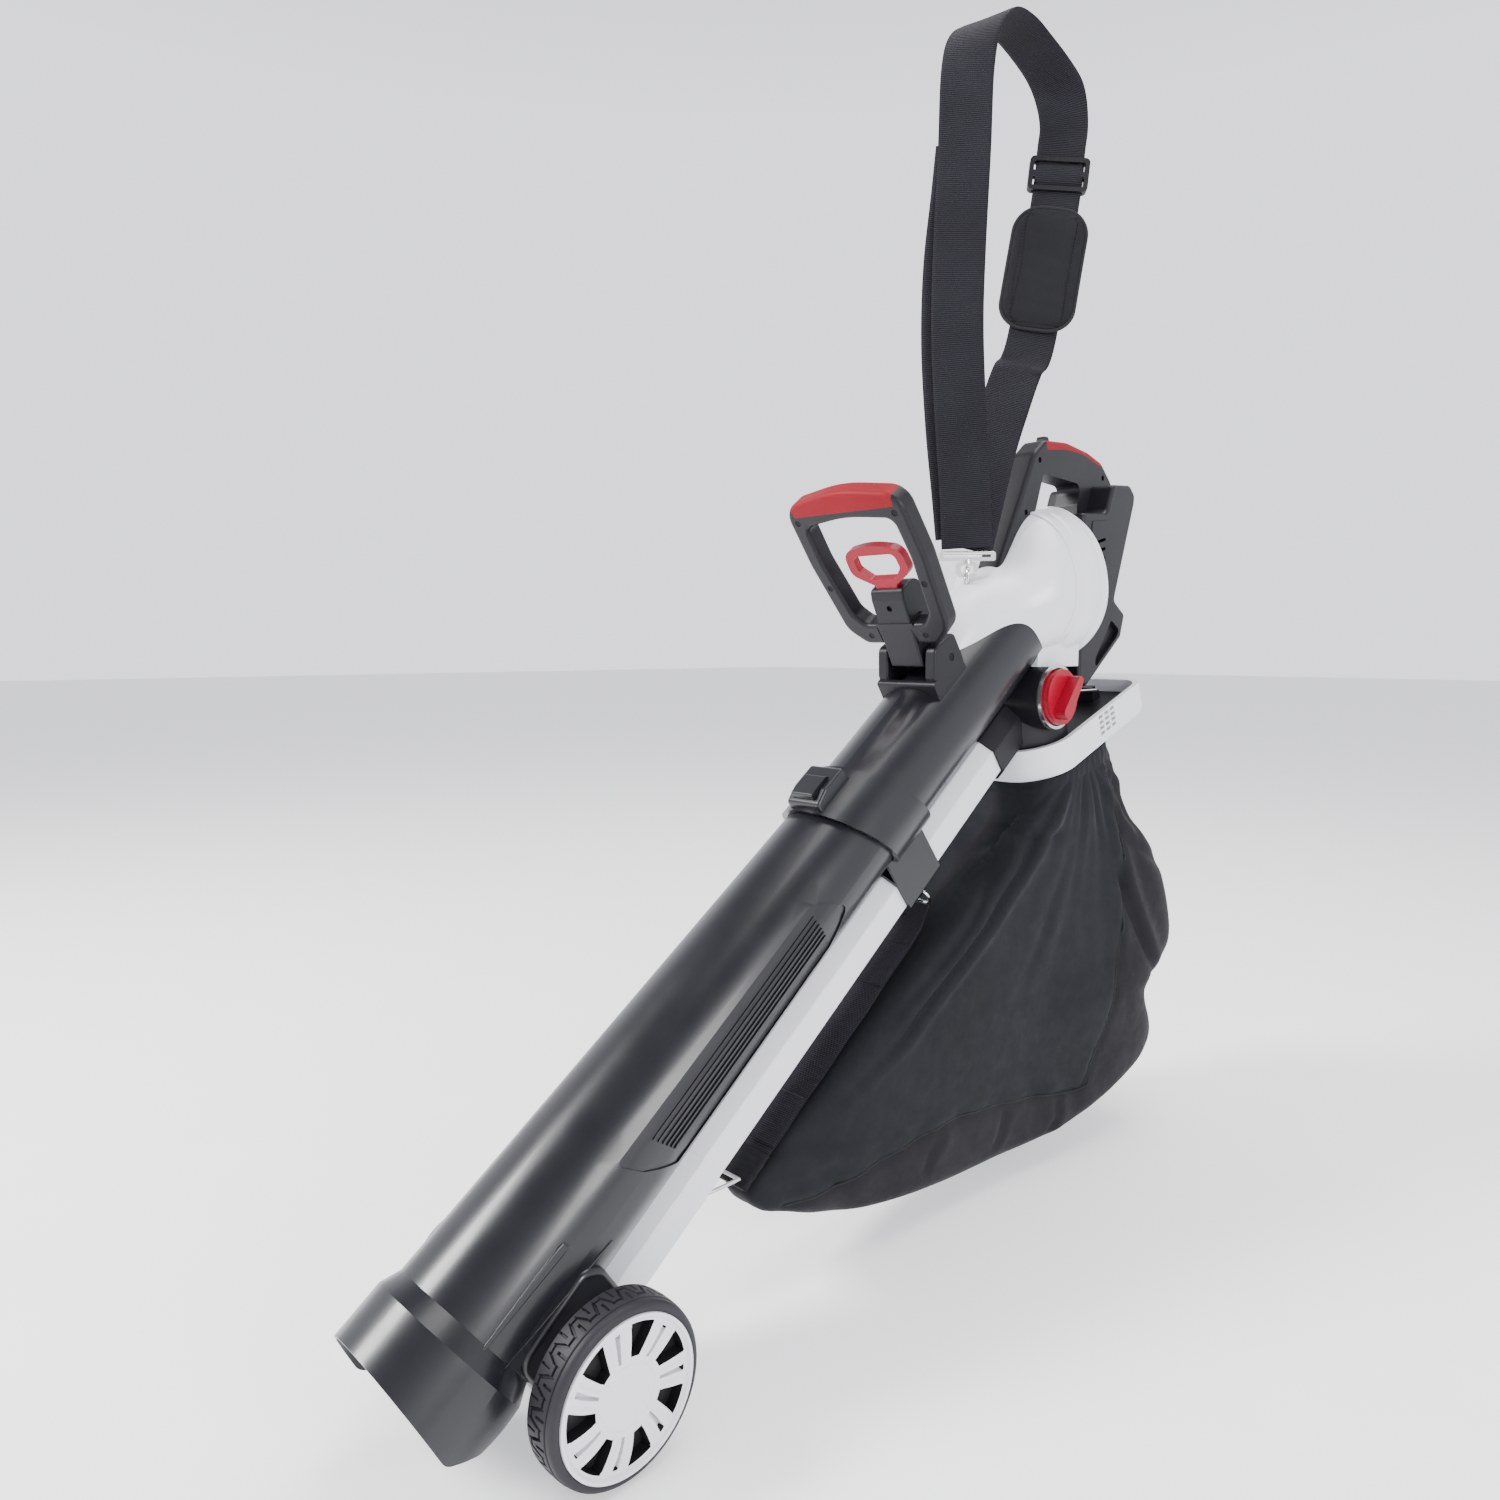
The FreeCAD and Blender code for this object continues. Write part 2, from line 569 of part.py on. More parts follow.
# ---- rear body with handle ----------------------------------------------------------------------
HANDLE_OUTLINE = [(536, 626), (603, 757, 16), (622, 772, 14), (668, 775, 60), (712, 770, 40), (742, 762, 18),
                  (766, 742, 20), (775, 715), (740, 660), (694, 664), (688, 704), (606, 698)]
HAND_HOLE = [(620, 737, 7), (606, 697), (590, 660), (686, 660), (690, 711, 8), (697, 733, 8)]
BODY_OUTLINE = [(658.3, 520), (658.3, 697, 4), (708, 701, 10), (721, 733, 7), (760, 736, 8), (772, 726, 8),
                (771, 716, 6), (732, 607, 5), (757, 592, 5), (749, 566, 6), (676, 512, 4)]


def volute_clearance():
    """What the rear body must keep off: the volute and the diverter under it."""
    boss, drum, neck = volute_solid(-GAP)
    grown = join([saddle(-GAP), boss, drum, neck])
    return grown.fuse(box(-95, 95, 560, DRUM_BACK + GAP, 470, 640))


def rear_body_solids():
    handle = prism(HANDLE_OUTLINE, "x", -HANDLE_HALF, HANDLE_HALF)
    handle = soften(handle, 4.5, lambda b: b.XLength < 0.01 and b.ZMin > 712)
    handle = handle.cut(prism(HAND_HOLE, "x", -30, 30))
    body = prism(BODY_OUTLINE, "x", -BODY_HALF, BODY_HALF)
    body = soften(body, 4.0, lambda b: b.XLength < 0.01 and b.YMin > 659)
    return handle, body


def rear_body_halves():
    handle, body = rear_body_solids()
    bay = box(-31, 31, 735, 800, 612, 712)
    bay.rotate(V(0, 752, 660), V(1, 0, 0), -20)
    hollow_low = [(660.8, 540), (660.8, 694, 3), (706, 697.5, 6), (716, 690), (713, 640), (713, 600),
                  (722, 584), (716, 560), (690, 540)]
    hollow = prism(hollow_low, "x", -BODY_HALF + WALL, BODY_HALF - WALL)
    handle_core = prism([(616, 748), (640, 760), (700, 757), (736, 745), (722, 739), (640, 745)],
                        "x", -HANDLE_HALF + 4, HANDLE_HALF - 4)
    solid = join([handle, body])
    solid = solid.cut(volute_clearance()).cut(bay).cut(hollow).cut(handle_core)
    solid = solid.cut(rod((0, 650, FAN_Z), (0, 680, FAN_Z), 26.8))
    solid = solid.cut(prism(GRIP_OUTLINE, "x", -20, 20)).cut(slider_slot())
    solid = solid.cut(prism(PANEL_OUTLINE, "x", BODY_HALF - 1.4, 60))
    solid = solid.cut(prism(PANEL_OUTLINE, "x", -60, -BODY_HALF + 1.4))
    for window in both(prism(PANEL_WINDOW, "x", 20, 60)):
        solid = solid.cut(window)
    for side in (-1, 1):
        recess = prism([(694, 545, 4), (725, 585, 4), (744, 574, 4), (738, 566, 3), (690, 530, 3)], "x",
                       min(side * 34, side * 41), max(side * 34, side * 41))
        solid = solid.cut(recess)
    halves = {}
    for name, side in SIDES:
        zone = box(0.01, 60, 500, 820, 480, 800) if side > 0 else box(-60, -0.01, 500, 820, 480, 800)
        half = solid.common(zone)
        if side > 0:
            for y, z in REAR_SCREWS:
                half = half.cut(rod((4, y, z), (30, y, z), 1.4))
                half = half.cut(rod((HANDLE_HALF - 4, y, z), (60, y, z), 3.0))
        halves[name] = row_frame(half)
    return halves


GRIP_OUTLINE = [(626, 762), (622, 790), (745, 790), (738, 757), (700, 766, 60), (664, 767, 60)]
PANEL_OUTLINE = [(676, 690, 4), (712, 694, 8), (726, 668, 10), (712, 610, 8), (706, 574, 4), (676, 560, 4)]
PANEL_WINDOW = [(684, 676, 4), (712, 676, 4), (702, 590, 4), (684, 580, 4)]
REAR_SCREWS = [(612, 750), (588, 694), (744, 745)]


def slider_slot():
    """Room for the thumb slider and its stem to travel along the handle's top."""
    return box(-4.6, 4.6, 631, 655, 764.6, 790).fuse(box(-2.6, 2.6, 635, 651, 745, 770))


def rear_grip():
    handle = rear_body_solids()[0]
    grip = handle.common(prism(GRIP_OUTLINE, "x", -20, 20))
    return row_frame(grip.cut(slider_slot()))


def power_slider():
    thumb = prism([(633, 765), (633, 775, 1), (635, 778.5, 1), (643, 778.5, 1), (645, 775, 1), (645, 765)],
                  "x", -4.2, 4.2)
    stem = box(-2, 2, 637, 641, 758, 766)
    return row_frame(thumb.fuse(stem).removeSplitter())


def power_switch():
    return row_frame(box(-7, 7, 656, 676, 746.5, 756))


def vent_panel(side):
    """Thin louvred cover set into the flank of the rear body."""
    inset = 0.3
    outline = [(676 + inset, 690 - inset, 4), (712 - inset, 694 - inset, 8), (726 - inset, 668, 10),
               (712 - inset, 610, 8), (706 - inset, 574 + inset, 4), (676 + inset, 560 + inset, 4)]
    panel = prism(outline, "x", BODY_HALF - 1.2, BODY_HALF + 0.6)
    for i in range(8):
        z = 596 + i * 10
        slot = prism([(686, z, 1.4), (706, z + 5, 1.4), (706, z + 8.4, 1.4), (686, z + 3.4, 1.4)], "x", 30, 50)
        panel = panel.cut(slot)
    return row_frame(panel if side > 0 else mirrored(panel))


def rear_screws():
    screws = []
    for y, z in REAR_SCREWS:
        shank = rod((4, y, z), (HANDLE_HALF - 4, y, z), 1.4)
        head = rod((HANDLE_HALF - 4, y, z), (HANDLE_HALF - 2, y, z), 2.9)
        screws.append(shank.fuse(head))
    return row_frame(group(screws))


def terminal_block():
    block = box(-20, 20, 740, 752, 618, 634)
    blades = [box(x - 1, x + 1, 751, 762, 622, 631) for x in (-14, -5, 5, 14)]
    body = join([block] + blades)
    body.rotate(V(0, 752, 660), V(1, 0, 0), -20)
    return row_frame(body)


def control_board():
    board = box(-24, 24, 676, 700, 690, 691.6)
    parts = [box(-20, -4, 680, 692, 684, 690.1), box(4, 18, 680, 690, 686, 690.1)]
    return row_frame(join([board] + parts))


# ---- diverter under the fan ---------------------------------------------------------------------
def ellipse_wire(x_half, y_half, y, z, tilt=0.0):
    """Ellipse in a plane that leans by tilt degrees about X."""
    along_x, along_y = V(1, 0, 0), V(0, math.cos(math.radians(tilt)), math.sin(math.radians(tilt)))
    centre = V(0, y, z)
    if x_half >= y_half:
        curve = Part.Ellipse(centre + along_x * x_half, centre + along_y * y_half, centre)
    else:
        curve = Part.Ellipse(centre + along_y * y_half, centre - along_x * x_half, centre)
    return Part.Wire([curve.toShape()])


def diverter_loft(shrink):
    """Waisted body between the fan's outlet and the flared foot in the bag frame."""
    stations = [(46, 43, 612, DIVERTER_TOP - shrink * 2, 0), (44, 47, 607, 512, 6), (46, 49, 605, 488, 14),
                (51, 41, 616, 450, FRAME_TILT)]
    wires = [ellipse_wire(a - shrink, b - shrink, y, z, tilt) for a, b, y, z, tilt in stations]
    return Part.makeLoft(wires, True, False)


def diverter_socket(grow):
    """Octagonal sleeve that takes the end of the blow tube."""
    sleeve = tube_frame(prism(blow_outline(grow), "y", 648 if grow > 1 else 630, 720))
    sleeve.translate(V(0, Y_MIDDLE, 0))
    return sleeve


def in_bag_plane(shape):
    placed = bag_plane(shape)
    placed.translate(V(0, Y_MIDDLE, 0))
    return placed


def diverter_outer():
    cup = rod((0, KNOB_Y, KNOB_Z), (52, KNOB_Y, KNOB_Z), 34)
    foot = in_bag_plane(prism([(-50, -60, 44), (50, -60, 44), (50, 26, 22), (-50, 26, 22)], "z", 13, 20))
    return join([diverter_loft(0), diverter_socket(3.0), cup, foot])


def diverter_housing():
    body = diverter_outer()
    inner = diverter_loft(2.6)
    mouth = in_bag_plane(prism([(-40, -50, 34), (40, -50, 34), (40, 18, 14), (-40, 18, 14)], "z", 5, 34))
    outlet = rod((0, 612, 510), (0, 612, 560), 38)
    below = in_bag_plane(box(-80, 80, -120, 60, -60, 12.9))
    body = body.cut(inner).cut(mouth).cut(outlet).cut(below)
    body = body.cut(diverter_socket(0.4).common(box(-60, 60, 480, 575, 380, 560)))
    clear_tube = tube_frame(rod((0, 500, UPPER_N), (0, 840, UPPER_N), UPPER_R + 0.4))
    clear_tube.translate(V(0, Y_MIDDLE, 0))
    body = body.cut(clear_tube.common(box(-60, 60, 480, BOSS_Y + 16.5, 0, 900)))
    body = body.cut(rod((-60, KNOB_Y, KNOB_Z), (60, KNOB_Y, KNOB_Z), 5.05))
    return row_frame(body.cut(box(-90, 90, 500, 720, DIVERTER_TOP, 620)))


def diverter_flap():
    shaft = rod((-43, KNOB_Y, KNOB_Z), (46, KNOB_Y, KNOB_Z), 5.0)
    plate = prism([(KNOB_Y - 2, KNOB_Z - 38, 1.5), (KNOB_Y - 2, KNOB_Z), (KNOB_Y + 2, KNOB_Z),
                   (KNOB_Y + 2, KNOB_Z - 38, 1.5)], "x", -26, 26)
    plate.rotate(V(0, KNOB_Y, KNOB_Z), V(1, 0, 0), FLAP_REST)
    return row_frame(shaft.fuse(plate).removeSplitter())


FLAP_REST = 68.0


def knob_ring():
    ring = pipe((52.1, KNOB_Y, KNOB_Z), (56, KNOB_Y, KNOB_Z), 33, 30)
    return row_frame(ring)


def mode_knob():
    skirt = rod((53, KNOB_Y, KNOB_Z), (62, KNOB_Y, KNOB_Z), KNOB_R)
    ridge = prism([(-8, -24, 4), (-4.5, 25, 4), (4.5, 25, 4), (8, -24, 4)], "x", 60, 75)
    ridge = ridge.common(rod((50, 0, 0), (80, 0, 0), KNOB_R - 1.5))
    ridge.rotate(V(0, 0, 0), V(1, 0, 0), -35)
    ridge.translate(V(0, KNOB_Y, KNOB_Z))
    stem = rod((46.1, KNOB_Y, KNOB_Z), (54, KNOB_Y, KNOB_Z), 5.0)
    return row_frame(join([skirt, ridge, stem]))


# ---- bag, its frame and its fittings ------------------------------------------------------------
def frame_outline(inset):
    half = FRAME_HALF - inset
    front, rear = FRAME_FRONT + inset, FRAME_REAR - inset
    return [(-half, front, half - 6), (half, front, half - 6), (half, rear, 16), (-half, rear, 16)]


def bag_frame():
    rim = prism(frame_outline(0), "z", 0, FRAME_HIGH).cut(prism(frame_outline(5), "z", -1, FRAME_HIGH + 1))
    lip = prism(frame_outline(1.5), "z", -5, 1).cut(prism(frame_outline(5), "z", -6, 2))
    ledge = prism(frame_outline(4), "z", 9, 12).cut(prism(frame_outline(9), "z", 8, 13))
    body = join([rim, lip, ledge])
    for column in range(3):
        for row in range(4):
            y, z = 40 + 12.5 * column, 5 + 6.2 * row
            body = body.cut(box(-70, 70, y, y + 9, z, z + 3.8))
    solid = in_bag_plane(body)
    for cutter in (diverter_socket(3.4), diverter_loft(-0.4)):
        solid = solid.cut(cutter)
    return row_frame(solid)


def frame_plate():
    """Dark cover over the rear half of the bag's mouth."""
    plate = prism([(-54.5, 27), (54.5, 27), (54.5, FRAME_REAR - 5.5, 17), (-54.5, FRAME_REAR - 5.5, 17)],
                  "z", 12.2, 15.2)
    post = box(-16, 16, 108, 124, 15, 24).fuse(box(-16, 16, 109, 117, 15, 32))
    body = plate.fuse(post).removeSplitter()
    return bag_plane(body.cut(rod((-20, 113, 28), (20, 113, 28), BAIL_R + 0.05)))


BAIL_R, BAIL_LENGTH = 1.5, 36.0


def latch_bail():
    """Wire latch: a U whose two feet turn inwards into the plate's post."""
    legs = [rod((x, 0, 0), (x, 0, BAIL_LENGTH), BAIL_R) for x in (-18.5, 18.5)]
    top = rod((-18.5, 0, BAIL_LENGTH), (18.5, 0, BAIL_LENGTH), BAIL_R)
    feet = [rod((-18.5, 0, 0), (-12, 0, 0), BAIL_R), rod((18.5, 0, 0), (12, 0, 0), BAIL_R)]
    knuckles = [Part.makeSphere(BAIL_R, V(x, 0, z)) for x in (-18.5, 18.5) for z in (0, BAIL_LENGTH)]
    bail = join(legs + [top] + feet + knuckles)
    bail.rotate(V(0, 0, 0), V(1, 0, 0), 70)
    bail.translate(V(0, 113, 28))
    return bag_plane(bail)


BAG_SECTIONS = [  # height, front, rear, half width at the front, half width at the rear
    (27, 410, 620, 18, 36),
    (60, 268, 738, 22, 60),
    (100, 194, 797, 18, 69),
    (145, 240, 780, 22, 74),
    (172, 280, 776, 26, 77),
    (215, 342, 820, 31, 79),
    (300, 456, 800, 43, 75),
    (372, 557, 740, 52, 62)]


def bag_section(z, front, rear, half_front, half_rear):
    middle = 0.45 * front + 0.55 * rear
    bulge = 0.5 * (half_front + half_rear) + 8
    points = [V(-half_front, front, z), V(0, front - 4, z), V(half_front, front, z), V(bulge, middle, z),
              V(half_rear, rear - 12, z), V(0, rear + 3, z), V(-half_rear, rear - 12, z), V(-bulge, middle, z)]
    curve = Part.BSplineCurve()
    curve.interpolate(Points=points, PeriodicFlag=True)
    return Part.Wire([curve.toShape()])


def bag_loft(shrink):
    """The bag's body; shrink draws every section in towards its own middle."""
    wires = []
    for z, front, rear, half_front, half_rear in BAG_SECTIONS:
        low = z + shrink if z == BAG_SECTIONS[0][0] else z
        wires.append(bag_section(low, front + shrink, rear - shrink, half_front - shrink, half_rear - shrink))
    rim_points = []
    drop = 5.6 if shrink == 0 else 4.0
    tilt = math.radians(FRAME_TILT)
    for x, along in ((-45, FRAME_FRONT + 16), (0, FRAME_FRONT + 4), (45, FRAME_FRONT + 16), (56, 6),
                     (50, 58), (0, 100), (-50, 58), (-56, 6)):
        along = 20 + (along - 20) * (1 - shrink / 70)
        y = FRAME_Y + along * math.cos(tilt) + drop * math.sin(tilt)
        z = FRAME_Z + along * math.sin(tilt) - drop * math.cos(tilt)
        rim_points.append(V(x * (1 - shrink / 50), y, z))
    rim = Part.BSplineCurve()
    rim.interpolate(Points=rim_points, PeriodicFlag=True)
    wires.append(Part.Wire([rim.toShape()]))
    return Part.makeLoft(wires, True, True)


def collection_bag():
    return row_frame(bag_loft(0).cut(bag_loft(1.6)))


def bag_strap():
    web = box(-20, 20, 196, 494, -74, -72)
    pocket = box(-20.5, 20.5, 172, 205, -75.5, -70.5)
    return tube_frame(web.fuse(pocket).removeSplitter())


def d_ring():
    ring = Part.makeTorus(9, 1.6, V(0, 500, -69.2), V(0, 1, 0))
    return tube_frame(ring)


def bag_hook():
    """Wire link from the strap's pocket to the eye under the blow tube."""
    bar = rod((-14, 176, -66), (14, 176, -66), 1.6)
    pin = rod((-8, 150, -51), (8, 150, -51), 1.6)
    legs = [rod((side * 8, 150, -51), (side * 14, 176, -66), 1.6) for side in (-1, 1)]
    knuckles = [Part.makeSphere(1.6, V(side * x, s, n)) for side in (-1, 1) for x, s, n in ((8, 150, -51), (14, 176, -66))]
    return tube_frame(join(legs + [bar, pin] + knuckles))


def hook_eye():
    lug = prism([(140, -46.4), (144, -56, 3), (158, -56, 3), (166, -46.4)], "x", -5, 5)
    return tube_frame(lug.cut(rod((-10, 150, -51), (10, 150, -51), 2.2)))


# ---- shoulder strap -----------------------------------------------------------------------------
STRAP_Y, EYE_Z = 505.0, 626.5
STRAP_ROUTE = [  # x, y, z of the webbing's middle line, and the way its width points, degrees from +X
    (0, 504, 653, 44), (0, 500, 700, 44), (0, 490, 776, 44), (0, 482, 860, 42), (0, 483, 935, 40),
    (0, 488, 1026, 38), (0, 491, 1100, 34), (0, 503, 1139, 20), (0, 531, 1162, 5), (0, 564, 1166, 0),
    (0, 597, 1159, 0), (0, 634, 1146, 10), (0, 657, 1129, 30), (0, 665, 1104, 38), (0, 661, 1078, 40),
    (0, 652, 1024, 40), (0, 612, 874, 40), (-1, 588, 838, 40), (-2, 571, 805, 40), (-4, 549, 755, 42),
    (-5, 530, 700, 44), (-5, 512, 653, 44)]


def strap_frames():
    """Centre, width and normal direction at every point of the strap's route."""
    centres = [V(x, y, z) for x, y, z, _ in STRAP_ROUTE]
    frames = []
    for i, (_, _, _, turn) in enumerate(STRAP_ROUTE):
        along = centres[min(i + 1, len(centres) - 1)] - centres[max(i - 1, 0)]
        along.normalize()
        wide = V(math.cos(math.radians(turn)), math.sin(math.radians(turn)), 0)
        wide = wide - along * wide.dot(along)
        wide.normalize()
        frames.append((centres[i], wide, wide.cross(along)))
    return frames


def strap_webbing():
    wires = []
    for centre, wide, normal in strap_frames():
        a, b = wide * (STRAP_WIDE / 2), normal * (STRAP_THICK / 2)
        corners = [centre + a + b, centre - a + b, centre - a - b, centre + a - b]
        wires.append(Part.makePolygon(corners + corners[:1]))
    return row_frame(Part.makeLoft(wires, True, True))


def on_strap(shape, low, high, share):
    """Place a shape drawn with x across, y square to and z along the webbing, between two route points."""
    start, end = V(*STRAP_ROUTE[low][:3]), V(*STRAP_ROUTE[high][:3])
    up = start - end
    up.normalize()
    turn = math.radians(STRAP_ROUTE[low][3])
    wide = V(math.cos(turn), math.sin(turn), 0)
    wide = wide - up * wide.dot(up)
    wide.normalize()
    square = up.cross(wide)
    centre = start * (1 - share) + end * share
    matrix = FreeCAD.Matrix(wide.x, square.x, up.x, centre.x, wide.y, square.y, up.y, centre.y,
                            wide.z, square.z, up.z, centre.z, 0, 0, 0, 1)
    placed = shape.copy()
    placed.Placement = FreeCAD.Placement(matrix)
    return row_frame(placed)


def strap_pad():
    pad = prism([(-38, -67, 26), (-38, 67, 26), (38, 67, 26), (38, -67, 26)], "y", -5, 5)
    pad = soften(pad, 2.5, lambda b: b.YLength < 0.01)
    pad = pad.cut(box(-26.5, 26.5, -1.8, 1.8, -90, 90))
    return on_strap(pad, 15, 16, 0.5)


def strap_slider():
    body = prism([(-31, -18, 5), (-31, 18, 5), (31, 18, 5), (31, -18, 5)], "y", -4.5, 4.5)
    body = body.cut(box(-26.5, 26.5, -1.8, 1.8, -30, 30))
    for low, high in ((-13, -3), (3, 13)):
        body = body.cut(box(-26.5, 26.5, -6, 6, low, high))
    return on_strap(body, 14, 15, 0.5)


def strap_plane(shape):
    """Place a shape drawn round the strap's eye, with x along the hook's bar and z up from the eye."""
    moved = shape.copy()
    moved.rotate(V(0, 0, 0), V(0, 0, 1), STRAP_ROUTE[0][3])
    moved.translate(V(0, STRAP_Y, EYE_Z))
    return moved


def eye_shape(grow):
    ring = Part.makeTorus(7.5, 2.0 + grow, V(0, 0, 0), V(1, 0, 0))
    foot = rod((0, 0, -22), (0, 0, -6), 3.0 + grow)
    return strap_plane(ring.fuse(foot).removeSplitter())


def strap_eye():
    """Metal eye set in the crown of the fan housing, for the snap hook."""
    return row_frame(eye_shape(0))


def snap_hook():
    """Sprung hook: webbing bar and yoke on top, body with a sprung gate below."""
    yoke = prism([(-28, 14, 2), (-28, 23, 2), (-24, 23), (-24, 17.5, 2), (24, 17.5, 2), (24, 23), (28, 23, 2), (28, 14, 2)],
                 "y", -2.2, 2.2)
    bar = rod((-26, 0, 22), (26, 0, 22), 1.8)
    swivel = rod((0, 0, 11), (0, 0, 15), 4.5)
    outer = prism([(-11, 13, 4), (11, 13, 4), (11, -2.4, 7), (-11, -2.4, 7)], "y", -2.3, 2.3)
    inner = prism([(-6.2, 9.6, 3), (6.2, 9.6, 3), (6.2, 1.4, 3.5), (-6.2, 1.4, 3.5)], "y", -4, 4)
    body = join([bar, yoke, swivel, outer.cut(inner)]).cut(box(4.5, 14, -4, 4, 1.6, 9.4))
    return row_frame(strap_plane(body))


def hook_gate():
    gate = prism([(6.8, 4.5), (10.4, 4.5), (10.4, 9.0), (6.8, 9.0)], "y", -2, 2)
    pivot_end = rod((8.6, -2, 4.5), (8.6, 2, 4.5), 1.9)
    return row_frame(strap_plane(gate.fuse(pivot_end)))


# ---- write every node ---------------------------------------------------------------------------
def all_nodes():
    volute = volute_halves()
    body = rear_body_halves()
    nodes = {
        "suction_tube_lower": suction_tube_lower(),
        "suction_tube_upper": suction_tube_upper(),
        "tube_collar": tube_collar(),
        "collar_screw": collar_screw(),
        "blow_nozzle": blow_nozzle(),
        "blow_tube_lower": blow_tube_lower(),
        "blow_tube_upper": blow_tube_upper(),
        "axle": axle(),
        "axle_bushes": axle_bushes(),
        "axle_clips": axle_clips(),
        "handle_bracket": handle_bracket(),
        "handle_pivot_pin": handle_pivot_pin(),
        "front_handle_front_half": front_handle_half(True),
        "front_handle_rear_half": front_handle_half(False),
        "front_handle_grip": front_handle_grip(),
        "front_handle_screws": front_handle_screws(),
        "release_tongue": release_tongue(),
        "release_ring": release_ring(),
        "release_pin": release_pin(),
        "release_spring": release_spring(),
        "impeller": impeller(),
        "motor": motor(),
        "motor_bearings": motor_bearings(),
        "motor_shaft": motor_shaft(),
        "cooling_fan": cooling_fan(),
        "rear_grip": rear_grip(),
        "power_slider": power_slider(),
        "power_switch": power_switch(),
        "rear_screws": rear_screws(),
        "terminal_block": terminal_block(),
        "control_board": control_board(),
        "diverter_housing": diverter_housing(),
        "diverter_flap": diverter_flap(),
        "knob_ring": knob_ring(),
        "mode_knob": mode_knob(),
        "bag_frame": bag_frame(),
        "frame_plate": frame_plate(),
        "latch_bail": latch_bail(),
        "collection_bag": collection_bag(),
        "bag_strap": bag_strap(),
        "d_ring": d_ring(),
        "bag_hook": bag_hook(),
        "hook_eye": hook_eye(),
        "strap_webbing": strap_webbing(),
        "strap_pad": strap_pad(),
        "strap_slider": strap_slider(),
        "strap_eye": strap_eye(),
        "snap_hook": snap_hook(),
        "hook_gate": hook_gate(),
    }
    for name, side in SIDES:
        nodes["volute_" + name] = volute[name]
        nodes["rear_body_" + name] = body[name]
        nodes["vent_panel_" + name] = vent_panel(side)
        nodes["wheel_rim_" + name] = wheel_rim(side)
        nodes["tyre_" + name] = tyre(side)
    return nodes


os.makedirs("parts", exist_ok=True)
whole = FreeCAD.BoundBox()
for node, shape in all_nodes().items():
    whole.add(shape.BoundBox)
    shape.exportStep("parts/" + node + ".step")
    print(node, len(shape.Solids), "solids", "valid" if shape.isValid() else "INVALID",
          "volume %.1f cm3" % (shape.Volume / 1000))
print("X %.1f..%.1f" % (whole.XMin, whole.XMax), "Y %.1f..%.1f" % (whole.YMin, whole.YMax),
      "Z %.1f..%.1f" % (whole.ZMin, whole.ZMax))
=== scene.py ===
"""Cordless garden blower and vacuum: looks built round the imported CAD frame.

Everything is in metres in the row frame: X across, -Y towards the suction mouth, Z up.
"""
import json
import math

import bmesh
import bpy
from mathutils import Matrix, Vector
from mathutils.bvhtree import BVHTree


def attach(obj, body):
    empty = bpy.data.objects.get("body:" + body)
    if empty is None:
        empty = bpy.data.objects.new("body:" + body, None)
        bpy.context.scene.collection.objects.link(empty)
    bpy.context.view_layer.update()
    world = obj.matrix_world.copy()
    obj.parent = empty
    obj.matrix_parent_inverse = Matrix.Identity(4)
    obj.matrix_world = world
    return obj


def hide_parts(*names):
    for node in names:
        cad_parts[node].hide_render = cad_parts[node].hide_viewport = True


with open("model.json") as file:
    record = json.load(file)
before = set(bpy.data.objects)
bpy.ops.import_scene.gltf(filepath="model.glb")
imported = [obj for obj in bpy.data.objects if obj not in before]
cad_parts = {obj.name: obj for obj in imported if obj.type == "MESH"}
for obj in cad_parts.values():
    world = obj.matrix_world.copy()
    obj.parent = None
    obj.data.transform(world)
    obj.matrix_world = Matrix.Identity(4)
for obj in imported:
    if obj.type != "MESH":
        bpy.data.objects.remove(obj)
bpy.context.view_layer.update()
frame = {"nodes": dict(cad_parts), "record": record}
NODES = frame["nodes"]

Y_MIDDLE = 0.3395                      # the axle's distance in front of the origin
AXLE_HEIGHT = 62.5                     # in millimetres
TILT = math.radians(37.4)              # the tubes' slope
COS_T, SIN_T = math.cos(TILT), math.sin(TILT)


# ---- frames -------------------------------------------------------------------------------------
def tube(x, s, n):
    """Row position of a point given in millimetres in the tubes' own frame."""
    point = Vector((x, s * COS_T - n * SIN_T, AXLE_HEIGHT + s * SIN_T + n * COS_T))
    return point / 1000 - Vector((0, Y_MIDDLE, 0))


def upright(x, y, z):
    """Row position of a point in millimetres, with y measured from the axle."""
    return Vector((x, y, z)) / 1000 - Vector((0, Y_MIDDLE, 0))


